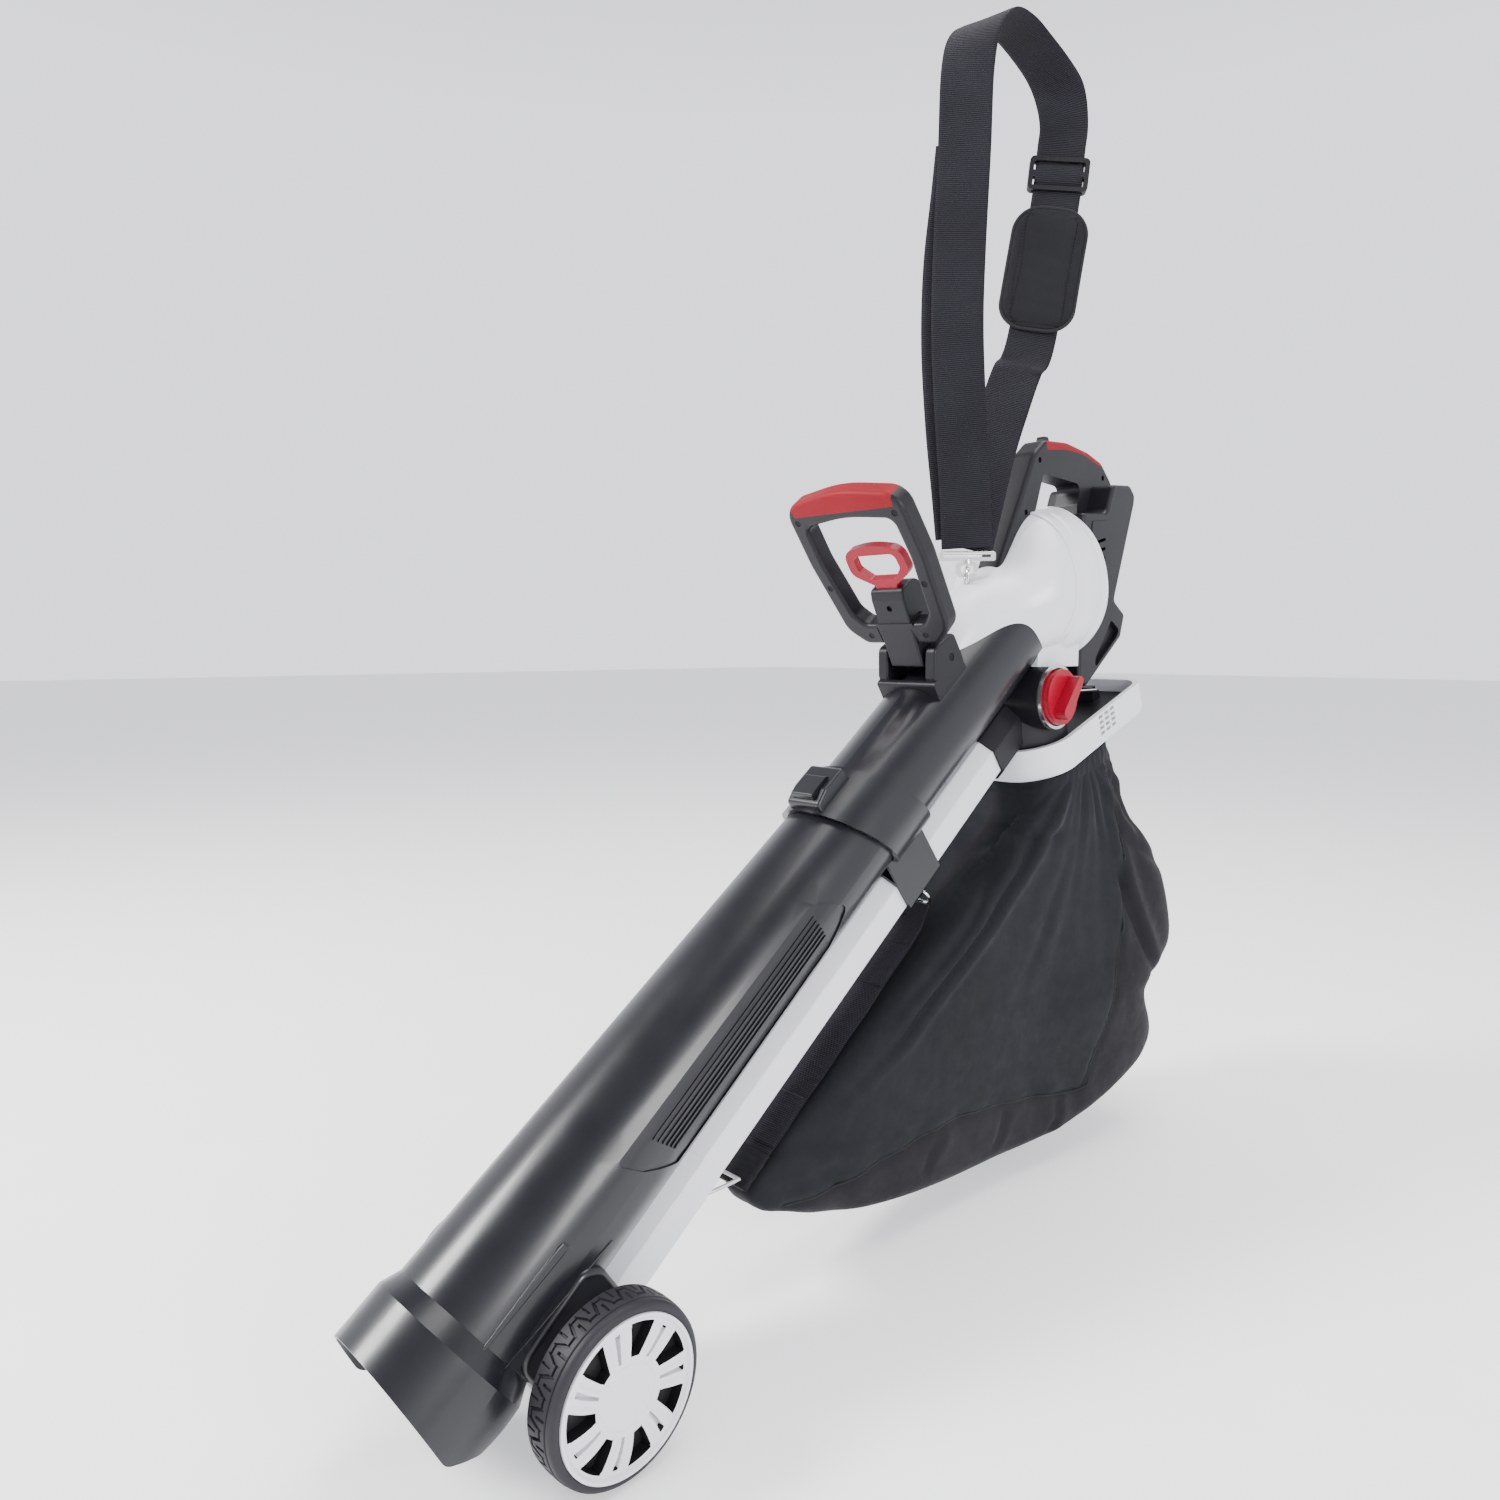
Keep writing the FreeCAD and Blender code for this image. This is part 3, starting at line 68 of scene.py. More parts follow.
# ---- materials ----------------------------------------------------------------------------------
class Mat:
    """Small wrapper that builds a node material step by step."""

    def __init__(self, name, color, rough=0.4, metallic=0.0, **extra):
        self.mat = bpy.data.materials.new(name)
        self.mat.use_nodes = True
        self.nodes = self.mat.node_tree.nodes
        self.links = self.mat.node_tree.links
        self.shader = self.nodes["Principled BSDF"]
        self.coords = self.nodes.new("ShaderNodeTexCoord")
        self.height = None
        self.set("Base Color", (*color, 1))
        self.set("Roughness", rough)
        self.set("Metallic", metallic)
        for key, value in extra.items():
            self.set(key.replace("_", " "), value)

    def set(self, socket, value):
        self.shader.inputs[socket].default_value = value

    def noise(self, scale, detail=4.0, rough=0.5, stretch=None, uv=False, distortion=0.0):
        tex = self.nodes.new("ShaderNodeTexNoise")
        tex.inputs["Scale"].default_value = scale
        tex.inputs["Detail"].default_value = detail
        tex.inputs["Roughness"].default_value = rough
        tex.inputs["Distortion"].default_value = distortion
        self.wire(tex, stretch, uv)
        return tex.outputs["Fac"]

    def wave(self, scale, direction="X", stretch=None, uv=True, distortion=0.0, profile="SIN"):
        tex = self.nodes.new("ShaderNodeTexWave")
        tex.bands_direction = direction
        tex.wave_profile = profile
        tex.inputs["Scale"].default_value = scale
        tex.inputs["Distortion"].default_value = distortion
        tex.inputs["Detail"].default_value = 1.0
        self.wire(tex, stretch, uv)
        return tex.outputs["Fac"]

    def wire(self, tex, stretch, uv):
        source = self.coords.outputs["UV" if uv else "Object"]
        if stretch is not None:
            mapping = self.nodes.new("ShaderNodeMapping")
            mapping.inputs["Scale"].default_value = stretch
            self.links.new(source, mapping.inputs["Vector"])
            source = mapping.outputs["Vector"]
        self.links.new(source, tex.inputs["Vector"])

    def ramp(self, value, low, high, out_low=0.0, out_high=1.0):
        node = self.nodes.new("ShaderNodeMapRange")
        for key, number in (("From Min", low), ("From Max", high), ("To Min", out_low), ("To Max", out_high)):
            node.inputs[key].default_value = number
        self.links.new(value, node.inputs["Value"])
        return node.outputs["Result"]

    def math(self, kind, a, b):
        node = self.nodes.new("ShaderNodeMath")
        node.operation = kind
        for socket, value in zip(node.inputs, (a, b)):
            if isinstance(value, (int, float)):
                socket.default_value = value
            else:
                self.links.new(value, socket)
        return node.outputs[0]

    def tint(self, value, dark, light):
        """Base colour runs from dark to light with value."""
        node = self.nodes.new("ShaderNodeMix")
        node.data_type = "RGBA"
        node.inputs[6].default_value = (*dark, 1)
        node.inputs[7].default_value = (*light, 1)
        self.links.new(value, node.inputs[0])
        self.links.new(node.outputs[2], self.shader.inputs["Base Color"])
        return self

    def gloss(self, value, low, high):
        self.links.new(self.ramp(value, 0.3, 0.7, low, high), self.shader.inputs["Roughness"])
        return self

    def bump(self, value, distance, strength=1.0):
        node = self.nodes.new("ShaderNodeBump")
        node.inputs["Distance"].default_value = distance
        node.inputs["Strength"].default_value = strength
        self.links.new(value, node.inputs["Height"])
        if self.height is not None:
            self.links.new(self.height, node.inputs["Normal"])
        self.height = node.outputs["Normal"]
        self.links.new(self.height, self.shader.inputs["Normal"])
        return self


def plastic(name, color, rough, grain=0.00004, spread=0.12, coat=0.0, grain_scale=1800, shine=0.5):
    """Moulded plastic: fine grain, slow colour drift and uneven gloss."""
    m = Mat(name, color, rough, Coat_Weight=coat, Coat_Roughness=0.12, Specular_IOR_Level=shine)
    drift = m.noise(9, 3)
    fine = m.noise(grain_scale, 2)
    dark = tuple(c * (1 - spread) for c in color)
    light = tuple(min(1, c * (1 + spread)) for c in color)
    m.tint(m.ramp(drift, 0.35, 0.65), dark, light)
    m.gloss(m.noise(35, 5), rough - 0.02, rough + 0.025)
    m.bump(fine, grain)
    return m


def metal(name, color, rough, brushed=True):
    m = Mat(name, color, rough, 1.0)
    streak = m.noise(300, 3, stretch=(1, 1, 8) if brushed else None)
    m.tint(streak, tuple(c * 0.85 for c in color), color)
    m.gloss(m.noise(60, 4), rough, rough + 0.12)
    m.bump(streak, 0.00002)
    return m


MATERIALS = {
    "black_gloss": plastic("black_gloss", (0.0058, 0.0058, 0.0086), 0.30, 0.00001, 0.05, 0.12, shine=0.4),
    "grey_shell": plastic("grey_shell", (0.68, 0.685, 0.73), 0.30, 0.00001, 0.015, coat=0.15),
    "dark_plastic": plastic("dark_plastic", (0.0068, 0.0065, 0.0090), 0.42, 0.00004, 0.08, shine=0.25),
    "red_grip": plastic("red_grip", (0.20, 0.0035, 0.010), 0.55, 0.00008, 0.08, grain_scale=900, shine=0.15),
    "red_gloss": plastic("red_gloss", (0.27, 0.0025, 0.016), 0.30, 0.00001, 0.03, coat=0.04, shine=0.22),
    "steel": metal("steel", (0.50, 0.50, 0.51), 0.3),
    "bright_steel": metal("bright_steel", (0.74, 0.73, 0.71), 0.14, False),
    "tyre_black": plastic("tyre_black", (0.0150, 0.0145, 0.0185), 0.5, 0.00006, 0.15, shine=0.25),
    "rim_grey": plastic("rim_grey", (0.66, 0.66, 0.70), 0.34, 0.00001, 0.02, coat=0.1),
    "bag_cloth": plastic("bag_cloth", (0.012, 0.012, 0.014), 0.8, 0.0001, 0.2),
    "webbing": plastic("webbing", (0.010, 0.010, 0.011), 0.75, 0.0001, 0.2),
    "board_green": plastic("board_green", (0.02, 0.12, 0.04), 0.4),
    "copper_alloy": metal("copper_alloy", (0.55, 0.38, 0.18), 0.3),
    "motor_steel": metal("motor_steel", (0.15, 0.15, 0.16), 0.4),
}


# Near-black finish for the screws and pin: painted shade standing in for the shadow in their recessed holes.
SCREW_PAINTED_SHADE = metal("screw_painted_shade", (0.022, 0.022, 0.025), 0.5).mat


def dress_cad_nodes():
    for sub in frame["record"]["subparts"]:
        node = NODES[sub["node"]]
        node.data.materials.clear()
        node.data.materials.append(MATERIALS[sub["material_slot"]].mat)
    # screws and pivot pin get the painted shade of their recessed holes
    for name in ("front_handle_screws", "rear_screws", "collar_screw", "handle_pivot_pin"):
        NODES[name].data.materials[0] = SCREW_PAINTED_SHADE


dress_cad_nodes()


# ---- mesh helpers -------------------------------------------------------------------------------
def add_mesh(name, verts, faces, material, uvs=None, smooth=True, body="blower"):
    mesh = bpy.data.meshes.new(name)
    mesh.from_pydata([tuple(v) for v in verts], [], faces)
    if uvs is not None:
        layer = mesh.uv_layers.new(name="UVMap")
        for poly in mesh.polygons:
            for loop in poly.loop_indices:
                source = loop if len(uvs) == len(mesh.loops) else mesh.loops[loop].vertex_index
                layer.data[loop].uv = uvs[source]
    for poly in mesh.polygons:
        poly.use_smooth = smooth
    obj = bpy.data.objects.new(name, mesh)
    bpy.context.collection.objects.link(obj)
    for mat in material if isinstance(material, (list, tuple)) else [material]:
        obj.data.materials.append(mat)
    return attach(obj, body)


def outward(obj):
    """Make every face point out of its closed shell."""
    bm = bmesh.new()
    bm.from_mesh(obj.data)
    bmesh.ops.recalc_face_normals(bm, faces=bm.faces)
    bm.to_mesh(obj.data)
    bm.free()
    return obj


def smooth_path(points, step):
    """Points of a curve through the given ones, about step apart, each with its place along the list."""
    pts = [Vector(p) for p in points]
    out = []
    for i in range(len(pts) - 1):
        p0, p1, p2, p3 = pts[max(i - 1, 0)], pts[i], pts[i + 1], pts[min(i + 2, len(pts) - 1)]
        count = max(1, round((p2 - p1).length / step))
        for k in range(count):
            t = k / count
            point = 0.5 * (2 * p1 + (p2 - p0) * t + (2 * p0 - 5 * p1 + 4 * p2 - p3) * t ** 2
                           + (3 * p1 - p0 - 3 * p2 + p3) * t ** 3)
            out.append((point, i + t))
    out.append((pts[-1], len(pts) - 1.0))
    return out


def lerp_list(values, place):
    i = min(int(place), len(values) - 2)
    share = place - i
    return values[i] * (1 - share) + values[i + 1] * share


def ribbon(name, frames, thick, material, columns=14, edge=0.35):
    """Webbing: a closed band through frames of (centre, half-width vector, normal, length so far)."""
    section = []
    for k in range(columns + 1):
        u = -1 + 2 * k / columns
        section.append((u, edge + (1 - edge) * (1 - abs(u) ** 8)))
    ring = [(u, h) for u, h in section] + [(u, -h) for u, h in reversed(section)]
    count = len(ring)
    verts, uvs, faces = [], [], []
    for centre, half, normal, length in frames:
        for u, h in ring:
            verts.append(centre + half * u + normal * (h * thick / 2))
            uvs.append((u * half.length, length))
    for i in range(len(frames) - 1):
        for k in range(count):
            a, b = i * count + k, i * count + (k + 1) % count
            faces.append((a, b, b + count, a + count))
    faces.append(tuple(range(count - 1, -1, -1)))
    last = (len(frames) - 1) * count
    faces.append(tuple(range(last, last + count)))
    return outward(add_mesh(name, verts, faces, material, uvs))


def tube_mesh(name, points, radius, material, sides=10, closed=False):
    """Round bead or wire along points."""
    pts = [Vector(p) for p in points]
    count = len(pts)
    verts, faces, uvs = [], [], []
    normal = None
    length = 0.0
    for i, p in enumerate(pts):
        before = pts[(i - 1) % count] if closed or i else pts[0]
        after = pts[(i + 1) % count] if closed or i < count - 1 else pts[-1]
        along = (after - before).normalized()
        if normal is None:
            normal = along.orthogonal().normalized()
        normal = (normal - along * normal.dot(along)).normalized()
        side = along.cross(normal)
        if i:
            length += (p - pts[i - 1]).length
        for k in range(sides):
            angle = 2 * math.pi * k / sides
            verts.append(p + (normal * math.cos(angle) + side * math.sin(angle)) * radius)
            uvs.append((radius * angle, length))
    for i in range(count if closed else count - 1):
        j = (i + 1) % count
        for k in range(sides):
            m = (k + 1) % sides
            faces.append((i * sides + k, i * sides + m, j * sides + m, j * sides + k))
    if not closed:
        faces.append(tuple(range(sides - 1, -1, -1)))
        faces.append(tuple(range((count - 1) * sides, count * sides)))
    return outward(add_mesh(name, verts, faces, material, uvs))


def stitches(name, lines, out, material, length=0.0024, gap=0.0013, thick=0.0007):
    """Rows of thread on a flat surface: each line is (start, end), and out points off the cloth."""
    verts, faces = [], []
    out = Vector(out).normalized()
    for start, end in lines:
        start, end = Vector(start), Vector(end)
        along = end - start
        total = along.length
        along.normalize()
        side = along.cross(out).normalized() * (thick / 2)
        place = gap / 2
        while place + length < total:
            a, b = start + along * place, start + along * (place + length)
            mid = (a + b) / 2 + out * thick
            base = len(verts)
            for p in (a, mid, b):
                verts += [p + side - out * thick * 0.6, p + side * 0.5 + out * thick * 0.5,
                          p - side * 0.5 + out * thick * 0.5, p - side - out * thick * 0.6]
            for ring in (0, 4):
                for k in range(4):
                    m = (k + 1) % 4
                    faces.append((base + ring + k, base + ring + m, base + ring + 4 + m, base + ring + 4 + k))
            faces.append((base, base + 1, base + 2, base + 3))
            faces.append((base + 11, base + 10, base + 9, base + 8))
            place += length + gap
    return outward(add_mesh(name, verts, faces, material))


# ---- soft materials -----------------------------------------------------------------------------
def webbing_material(name, color, rib=0.0019):
    """Ribbed nylon webbing; UV is millimetre-true, with ribs across the band. Its colour carries painted
    shade in the rib troughs and a painted highlight on the crests, over a random drift in tone.
    """
    m = Mat(name, color, 0.66, Sheen_Weight=0.03, Sheen_Roughness=0.4, Specular_IOR_Level=0.07)
    ribs = m.wave(1.0, "Y", stretch=(0, 2 * math.pi / rib / 20, 0), profile="SIN")
    weave = m.wave(1.0, "X", stretch=(2 * math.pi / 0.0011 / 20, 0, 0), profile="SIN")
    drift = m.noise(14, 4)
    fuzz = m.noise(1400, 3)
    # painted shade and highlight from the ribs, mixed with a random drift in tone
    painted_rib_shade_and_drift = m.math("ADD", m.math("MULTIPLY", ribs, 0.65), m.math("MULTIPLY", drift, 0.5))
    m.tint(m.ramp(painted_rib_shade_and_drift, 0.15, 1.0), tuple(c * 0.35 for c in color), tuple(min(1, c * 1.9) for c in color))
    m.bump(ribs, 0.0004, 0.8)
    m.bump(weave, 0.00012, 0.5)
    m.bump(fuzz, 0.0001, 0.4)
    return m


def cloth_material(name, color, light, wrinkle=0.0007):
    """Thin woven polyester with a faint weave, soft creases and a little sheen."""
    m = Mat(name, color, 0.66, Sheen_Weight=0.04, Sheen_Roughness=0.35, Specular_IOR_Level=0.14)
    drift = m.noise(7, 5)
    fine = m.noise(60, 6, 0.6)
    weave = m.math("MULTIPLY", m.wave(160, "X", uv=False), m.wave(160, "Z", uv=False))
    tone = m.math("ADD", m.math("MULTIPLY", drift, 0.7), m.math("MULTIPLY", fine, 0.3))
    m.tint(m.ramp(tone, 0.3, 0.7), color, light)
    m.gloss(fine, 0.62, 0.82)
    m.bump(m.noise(16, 4, 0.55, distortion=0.8), wrinkle * 3, 0.5)
    m.bump(fine, wrinkle, 0.35)
    m.bump(weave, 0.00015, 0.35)
    return m


WEBBING = webbing_material("ribbed_webbing", (0.0125, 0.0120, 0.0155)).mat
BAG_PANEL = cloth_material("bag_panel_cloth", (0.0056, 0.0062, 0.0082), (0.0104, 0.0114, 0.0145)).mat
BAG_GUSSET = cloth_material("bag_gusset_cloth", (0.0072, 0.0066, 0.0086), (0.0135, 0.0122, 0.0156)).mat
PAD_CLOTH = cloth_material("pad_cloth", (0.0055, 0.0055, 0.0066), (0.0105, 0.0105, 0.0125), 0.0003).mat
PIPING = cloth_material("piping_cloth", (0.010, 0.010, 0.011), (0.018, 0.018, 0.020), 0.0002).mat
THREAD = plastic("thread", (0.014, 0.014, 0.016), 0.6, 0.00005, 0.2, shine=0.1).mat


# ---- collection bag -----------------------------------------------------------------------------
BAG_LEVELS = [  # height, front, rear, half width at the front, half width at the rear
    (28, 412, 616, 18, 36), (38, 352, 660, 22, 50), (48, 306, 704, 23, 56), (60, 268, 740, 22, 61),
    (80, 212, 784, 20, 66), (98, 195, 797, 18, 69), (112, 202, 797, 19, 71), (128, 222, 789, 20, 73),
    (148, 246, 776, 23, 75), (168, 274, 770, 26, 77), (190, 304, 794, 29, 78), (215, 342, 820, 31, 79),
    (255, 396, 816, 37, 78), (300, 456, 800, 43, 75), (340, 512, 768, 49, 70), (372, 557, 741, 52, 62)]
# lines of creases seen from the side, in millimetres: points, depth, width
CREASES = [
    ([(628, 425), (560, 368), (470, 285), (360, 200), (262, 148)], 7.0, 4.5),
    ([(600, 416), (520, 350), (430, 270), (330, 200)], 6.0, 4.0),
    ([(640, 418), (610, 352), (565, 268), (520, 190)], 2.6, 9.0),
    ([(576, 404), (500, 338), (420, 276)], 5.0, 3.5),
    ([(520, 372), (560, 362), (610, 366)], 4.0, 6.0),
    ([(672, 420), (678, 340), (690, 260)], 3.0, 8.0),
    ([(690, 430), (716, 380), (740, 330)], 3.5, 7.0),
    ([(690, 320), (716, 262), (745, 212), (775, 172)], 8.0, 7.0),
    ([(700, 350), (752, 322), (800, 300)], 4.0, 7.0),
    ([(300, 118), (240, 132), (190, 126)], 2.5, 6.0),
    ([(420, 96), (400, 70), (392, 50)], 2.5, 6.0),
    ([(520, 86), (512, 60), (500, 42)], 3.0, 6.0),
    ([(600, 76), (604, 52), (590, 36)], 2.5, 6.0),
    ([(250, 108), (280, 84), (300, 66)], 2.0, 6.0)]
SEAM = [(222, 82), (290, 84), (340, 90), (400, 96), (449, 98), (549, 88), (640, 76), (652, 100), (668, 134),
        (684, 180), (698, 233), (702, 300), (698, 360), (690, 420)]


def bag_ring(level, columns):
    """Closed loop of the bag at one height: smooth curve through eight guide points."""
    z, front, rear, half_front, half_rear = level
    middle = 0.45 * front + 0.55 * rear
    bulge = 0.5 * (half_front + half_rear) + 8
    guide = [(-half_front, front), (0, front - 4), (half_front, front), (bulge, middle),
             (half_rear, rear - 12), (0, rear + 3), (-half_rear, rear - 12), (-bulge, middle)]
    return closed_curve([Vector((x, y, z)) for x, y in guide], columns)


def closed_curve(guide, columns):
    """Even points round a closed smooth curve through the guide points, starting at the first."""
    count = len(guide)
    fine = []
    for i in range(count):
        p0, p1, p2, p3 = guide[i - 1], guide[i], guide[(i + 1) % count], guide[(i + 2) % count]
        d1 = max((p1 - p0).length, 1e-6) ** 0.5
        d2 = max((p2 - p1).length, 1e-6) ** 0.5
        d3 = max((p3 - p2).length, 1e-6) ** 0.5
        m1 = (p1 - p0) / d1 - (p2 - p0) / (d1 + d2) + (p2 - p1) / d2
        m2 = (p2 - p1) / d2 - (p3 - p1) / (d2 + d3) + (p3 - p2) / d3
        m1, m2 = m1 * d2, m2 * d2
        for k in range(40):
            t = k / 40
            fine.append(p1 * (2 * t ** 3 - 3 * t * t + 1) + m1 * (t ** 3 - 2 * t * t + t)
                        + p2 * (3 * t * t - 2 * t ** 3) + m2 * (t ** 3 - t * t))
    lengths = [0.0]
    for i in range(len(fine)):
        lengths.append(lengths[-1] + (fine[(i + 1) % len(fine)] - fine[i]).length)
    ring = []
    j = 0
    for k in range(columns):
        goal = lengths[-1] * k / columns
        while lengths[j + 1] < goal:
            j += 1
        share = (goal - lengths[j]) / max(lengths[j + 1] - lengths[j], 1e-9)
        ring.append(fine[j].lerp(fine[(j + 1) % len(fine)], share))
    return ring


def line_distance(line, y, z):
    """Distance to a polyline, its sign, and the place along it from 0 to 1."""
    best = (1e9, 1.0, 0.0)
    total = sum(math.dist(line[i], line[i + 1]) for i in range(len(line) - 1))
    done = 0.0
    for i in range(len(line) - 1):
        (ay, az), (by, bz) = line[i], line[i + 1]
        dy, dz = by - ay, bz - az
        span = math.hypot(dy, dz)
        t = max(0.0, min(1.0, ((y - ay) * dy + (z - az) * dz) / span ** 2))
        gap = math.hypot(y - ay - t * dy, z - az - t * dz)
        if gap < best[0]:
            best = (gap, 1.0 if dy * (z - az) - dz * (y - ay) > 0 else -1.0, (done + t * span) / total)
        done += span
    return best


def bag_outer():
    """Rows of points from the frame's rim down to the bottom."""
    columns, rows = 260, 190
    tilt = math.radians(20.0)
    rim_guide = []
    for x, along in ((-45, -54), (0, -66), (45, -54), (56, 6), (50, 58), (0, 100), (-50, 58), (-56, 6)):
        rim_guide.append(Vector((x, 638 + along * math.cos(tilt) + 5.6 * math.sin(tilt),
                                 441 + along * math.sin(tilt) - 5.6 * math.cos(tilt))))
    guides = [closed_curve(rim_guide, columns)]
    guides += [bag_ring(level, columns) for level in reversed(BAG_LEVELS)]
    low = guides[-1]
    centre = sum(low, Vector((0, 0, 0))) / columns
    for share, drop in ((0.8, 2.5), (0.5, 3.6), (0.2, 3.9)):
        guides.append([centre.lerp(p, share) + Vector((0, 0, -drop)) for p in low])
    stack = []
    for column in range(columns):
        stack.append([ring[column] for ring in guides])
    rings = []
    lengths = [0.0]
    for i in range(len(guides) - 1):
        lengths.append(lengths[-1] + max(6.0, sum((guides[i + 1][c] - guides[i][c]).length
                                                  for c in range(0, columns, 13)) / 20))
    for row in range(rows + 1):
        goal = lengths[-1] * row / rows
        i = max(k for k in range(len(lengths)) if lengths[k] <= goal + 1e-9)
        i = min(i, len(guides) - 2)
        t = (goal - lengths[i]) / (lengths[i + 1] - lengths[i])
        ring = []
        for c in range(columns):
            s = stack[c]
            p0, p1, p2, p3 = s[max(i - 1, 0)], s[i], s[i + 1], s[min(i + 2, len(s) - 1)]
            h0 = lengths[i] - lengths[max(i - 1, 0)] or 1.0
            h1 = lengths[i + 1] - lengths[i]
            h2 = lengths[min(i + 2, len(s) - 1)] - lengths[i + 1] or 1.0
            m1 = (p2 - p0) / (h0 + h1) * h1 if i else (p2 - p1)
            m2 = (p3 - p1) / (h1 + h2) * h1 if i + 2 < len(s) else (p2 - p1)
            ring.append(p1 * (2 * t ** 3 - 3 * t * t + 1) + m1 * (t ** 3 - 2 * t * t + t)
                        + p2 * (3 * t * t - 2 * t ** 3) + m2 * (t ** 3 - t * t))
        rings.append(ring)
    return rings


def crease_offset(x, y, z, wave):
    """How far the cloth is pushed in or out at a point of the bag, in millimetres."""
    side = min(1.0, abs(x) / 22)
    shift = 9 if x < 0 else 0
    out = 0.0
    for line, depth, width in CREASES:
        gap, sign, place = line_distance(line, y + shift, z - shift)
        fade = min(1.0, place / 0.15 + 0.25) * min(1.0, (1 - place) / 0.35)
        out -= depth * 0.7 * math.exp(-(gap / width) ** 2) * fade
        if sign > 0:
            out += depth * 0.55 * math.exp(-((gap - width * 1.6) / (width * 1.5)) ** 2) * fade
        else:
            out += depth * 0.25 * math.exp(-((gap - width * 2.2) / (width * 2.0)) ** 2) * fade
    angle = math.atan2(445 - z, 650 - y)
    reach = math.hypot(445 - z, 650 - y)
    fan = math.sin(angle * 17 + wave) * 0.9 + math.sin(angle * 31 + wave * 2) * 0.5
    out += fan * max(0.0, 1 - reach / 330) * min(1.0, reach / 60) * 1.6
    hem = line_distance(SEAM, y, z)
    out += -2.4 * math.exp(-(hem[0] / 4.0) ** 2)
    if z < 110 or y > 700:
        out += 1.3 * math.sin(y * 0.11 + z * 0.05 + wave) * math.exp(-(hem[0] / 26) ** 2)
    return out * side


def make_bag():
    rings = bag_outer()
    columns = len(rings[0])
    verts = [[p.copy() for p in ring] for ring in rings]
    rows = len(verts)
    for i in range(rows):
        for c in range(columns):
            along = rings[min(i + 1, rows - 1)][c] - rings[max(i - 1, 0)][c]
            across = rings[i][(c + 1) % columns] - rings[i][c - 1]
            normal = across.cross(along)
            if normal.length < 1e-9:
                continue
            normal.normalize()
            p = rings[i][c]
            if normal.x * p.x < 0 and abs(p.x) > 10:
                normal = -normal
            top = min(1.0, i / 7)
            verts[i][c] = p + normal * crease_offset(p.x, p.y, p.z, 1.3 if p.x > 0 else 2.6) * top
            pinch = math.exp(-((p.z - 0.36 * (p.y - 560) - 388) / 12) ** 2)
            verts[i][c].x *= 1 - 0.02 * pinch
    flat, faces, materials = [], [], []
    for ring in verts:
        flat += [upright(*p) for p in ring]
    for i in range(rows - 1):
        for c in range(columns):
            d = (c + 1) % columns
            faces.append((i * columns + c, i * columns + d, (i + 1) * columns + d, (i + 1) * columns + c))
            p = rings[i][c]
            sign = line_distance(SEAM, p.y, p.z)[1]
            inside = p.y < 704 and p.z > 76 and sign > 0
            materials.append(0 if inside and abs(p.x) > 8 else 1)
    last = (rows - 1) * columns
    faces.append(tuple(last + c for c in range(columns)))
    materials.append(1)
    bag = add_mesh("bag_shell", flat, faces, [BAG_PANEL, BAG_GUSSET])
    for poly, index in zip(bag.data.polygons, materials):
        poly.material_index = index
    solid = bag.modifiers.new("cloth", "SOLIDIFY")
    solid.thickness = 0.0008
    solid.offset = -1
    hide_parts("collection_bag")
    return bag, verts


bag, BAG_POINTS = make_bag()


def bag_surface(x_sign, y, z):
    """Point of the finished bag nearest to y, z on one side, in millimetres."""
    best, found = 1e9, None
    for ring in BAG_POINTS:
        for p in ring:
            if p.x * x_sign > 5:
                gap = (p.y - y) ** 2 + (p.z - z) ** 2
                if gap < best:
                    best, found = gap, p
    return found


def make_seams():
    for name, sign in (("right", 1), ("left", -1)):
        path = [(0, y, z) for y, z in SEAM]
        points = []
        for p, _ in smooth_path(path, 7.0):
            near = bag_surface(sign, p.y, p.z)
            points.append(upright(near.x + sign * 0.5, p.y, p.z))
        seam = tube_mesh("bag_seam_" + name, points, 0.0011, PIPING, 8)


make_seams()


def make_hem():
    """Gathered band of cloth where the bag's mouth is tied over the frame's lip."""
    top = BAG_POINTS[0]
    columns = len(top)
    verts, faces = [], []
    profile = [(-1.0, 0.6), (0.5, 1.6), (4, 2.2), (8, 2.0), (12, 1.5), (15, 0.8), (15.5, -0.4)]
    for step, (down, out) in enumerate(profile):
        for c in range(columns):
            i = min(len(BAG_POINTS) - 1, max(0, int(down / 2.2)))
            p = BAG_POINTS[i][c]
            middle = Vector((0, 668, p.z))
            away = (p - middle)
            away.z = 0
            away.normalize()
            wave = 0.5 * math.sin(c * 2 * math.pi / columns * 46) * min(1.0, step / 2)
            verts.append(upright(*(p + away * (out + wave * 0.6))))
    for step in range(len(profile) - 1):
        for c in range(columns):
            d = (c + 1) % columns
            low, high = step * columns, (step + 1) * columns
            faces.append((low + c, high + c, high + d, low + d))
    hem = add_mesh("bag_hem", verts, faces, BAG_PANEL)
    solid = hem.modifiers.new("cloth", "SOLIDIFY")
    solid.thickness = 0.0007


make_hem()


# ---- straps -------------------------------------------------------------------------------------
STRAP_ROUTE = [  # x, y, z of the webbing's middle line, and the way its width points, degrees from +X
    (0, 504, 653, 44), (0, 500, 700, 44), (0, 490, 776, 44), (0, 482, 860, 42), (0, 483, 935, 40),
    (0, 488, 1026, 38), (0, 491, 1100, 34), (0, 503, 1139, 20), (0, 531, 1162, 5), (0, 564, 1166, 0),
    (0, 597, 1159, 0), (0, 634, 1146, 10), (0, 657, 1129, 30), (0, 665, 1104, 38), (0, 661, 1078, 40),
    (0, 652, 1024, 40), (0, 612, 874, 40), (-1, 588, 838, 40), (-2, 571, 805, 40), (-4, 549, 755, 42),
    (-5, 530, 700, 44), (-5, 512, 653, 44)]
TAIL_ROUTE = [  # the second layer of webbing, in the same form
    (-6, 500, 664, 40), (-7, 494, 706, 38), (-9, 484, 776, 34), (-9, 476, 850, 34), (-7, 475, 920, 36),
    (-3, 480, 985, 38), (-1, 484, 1030, 38)]


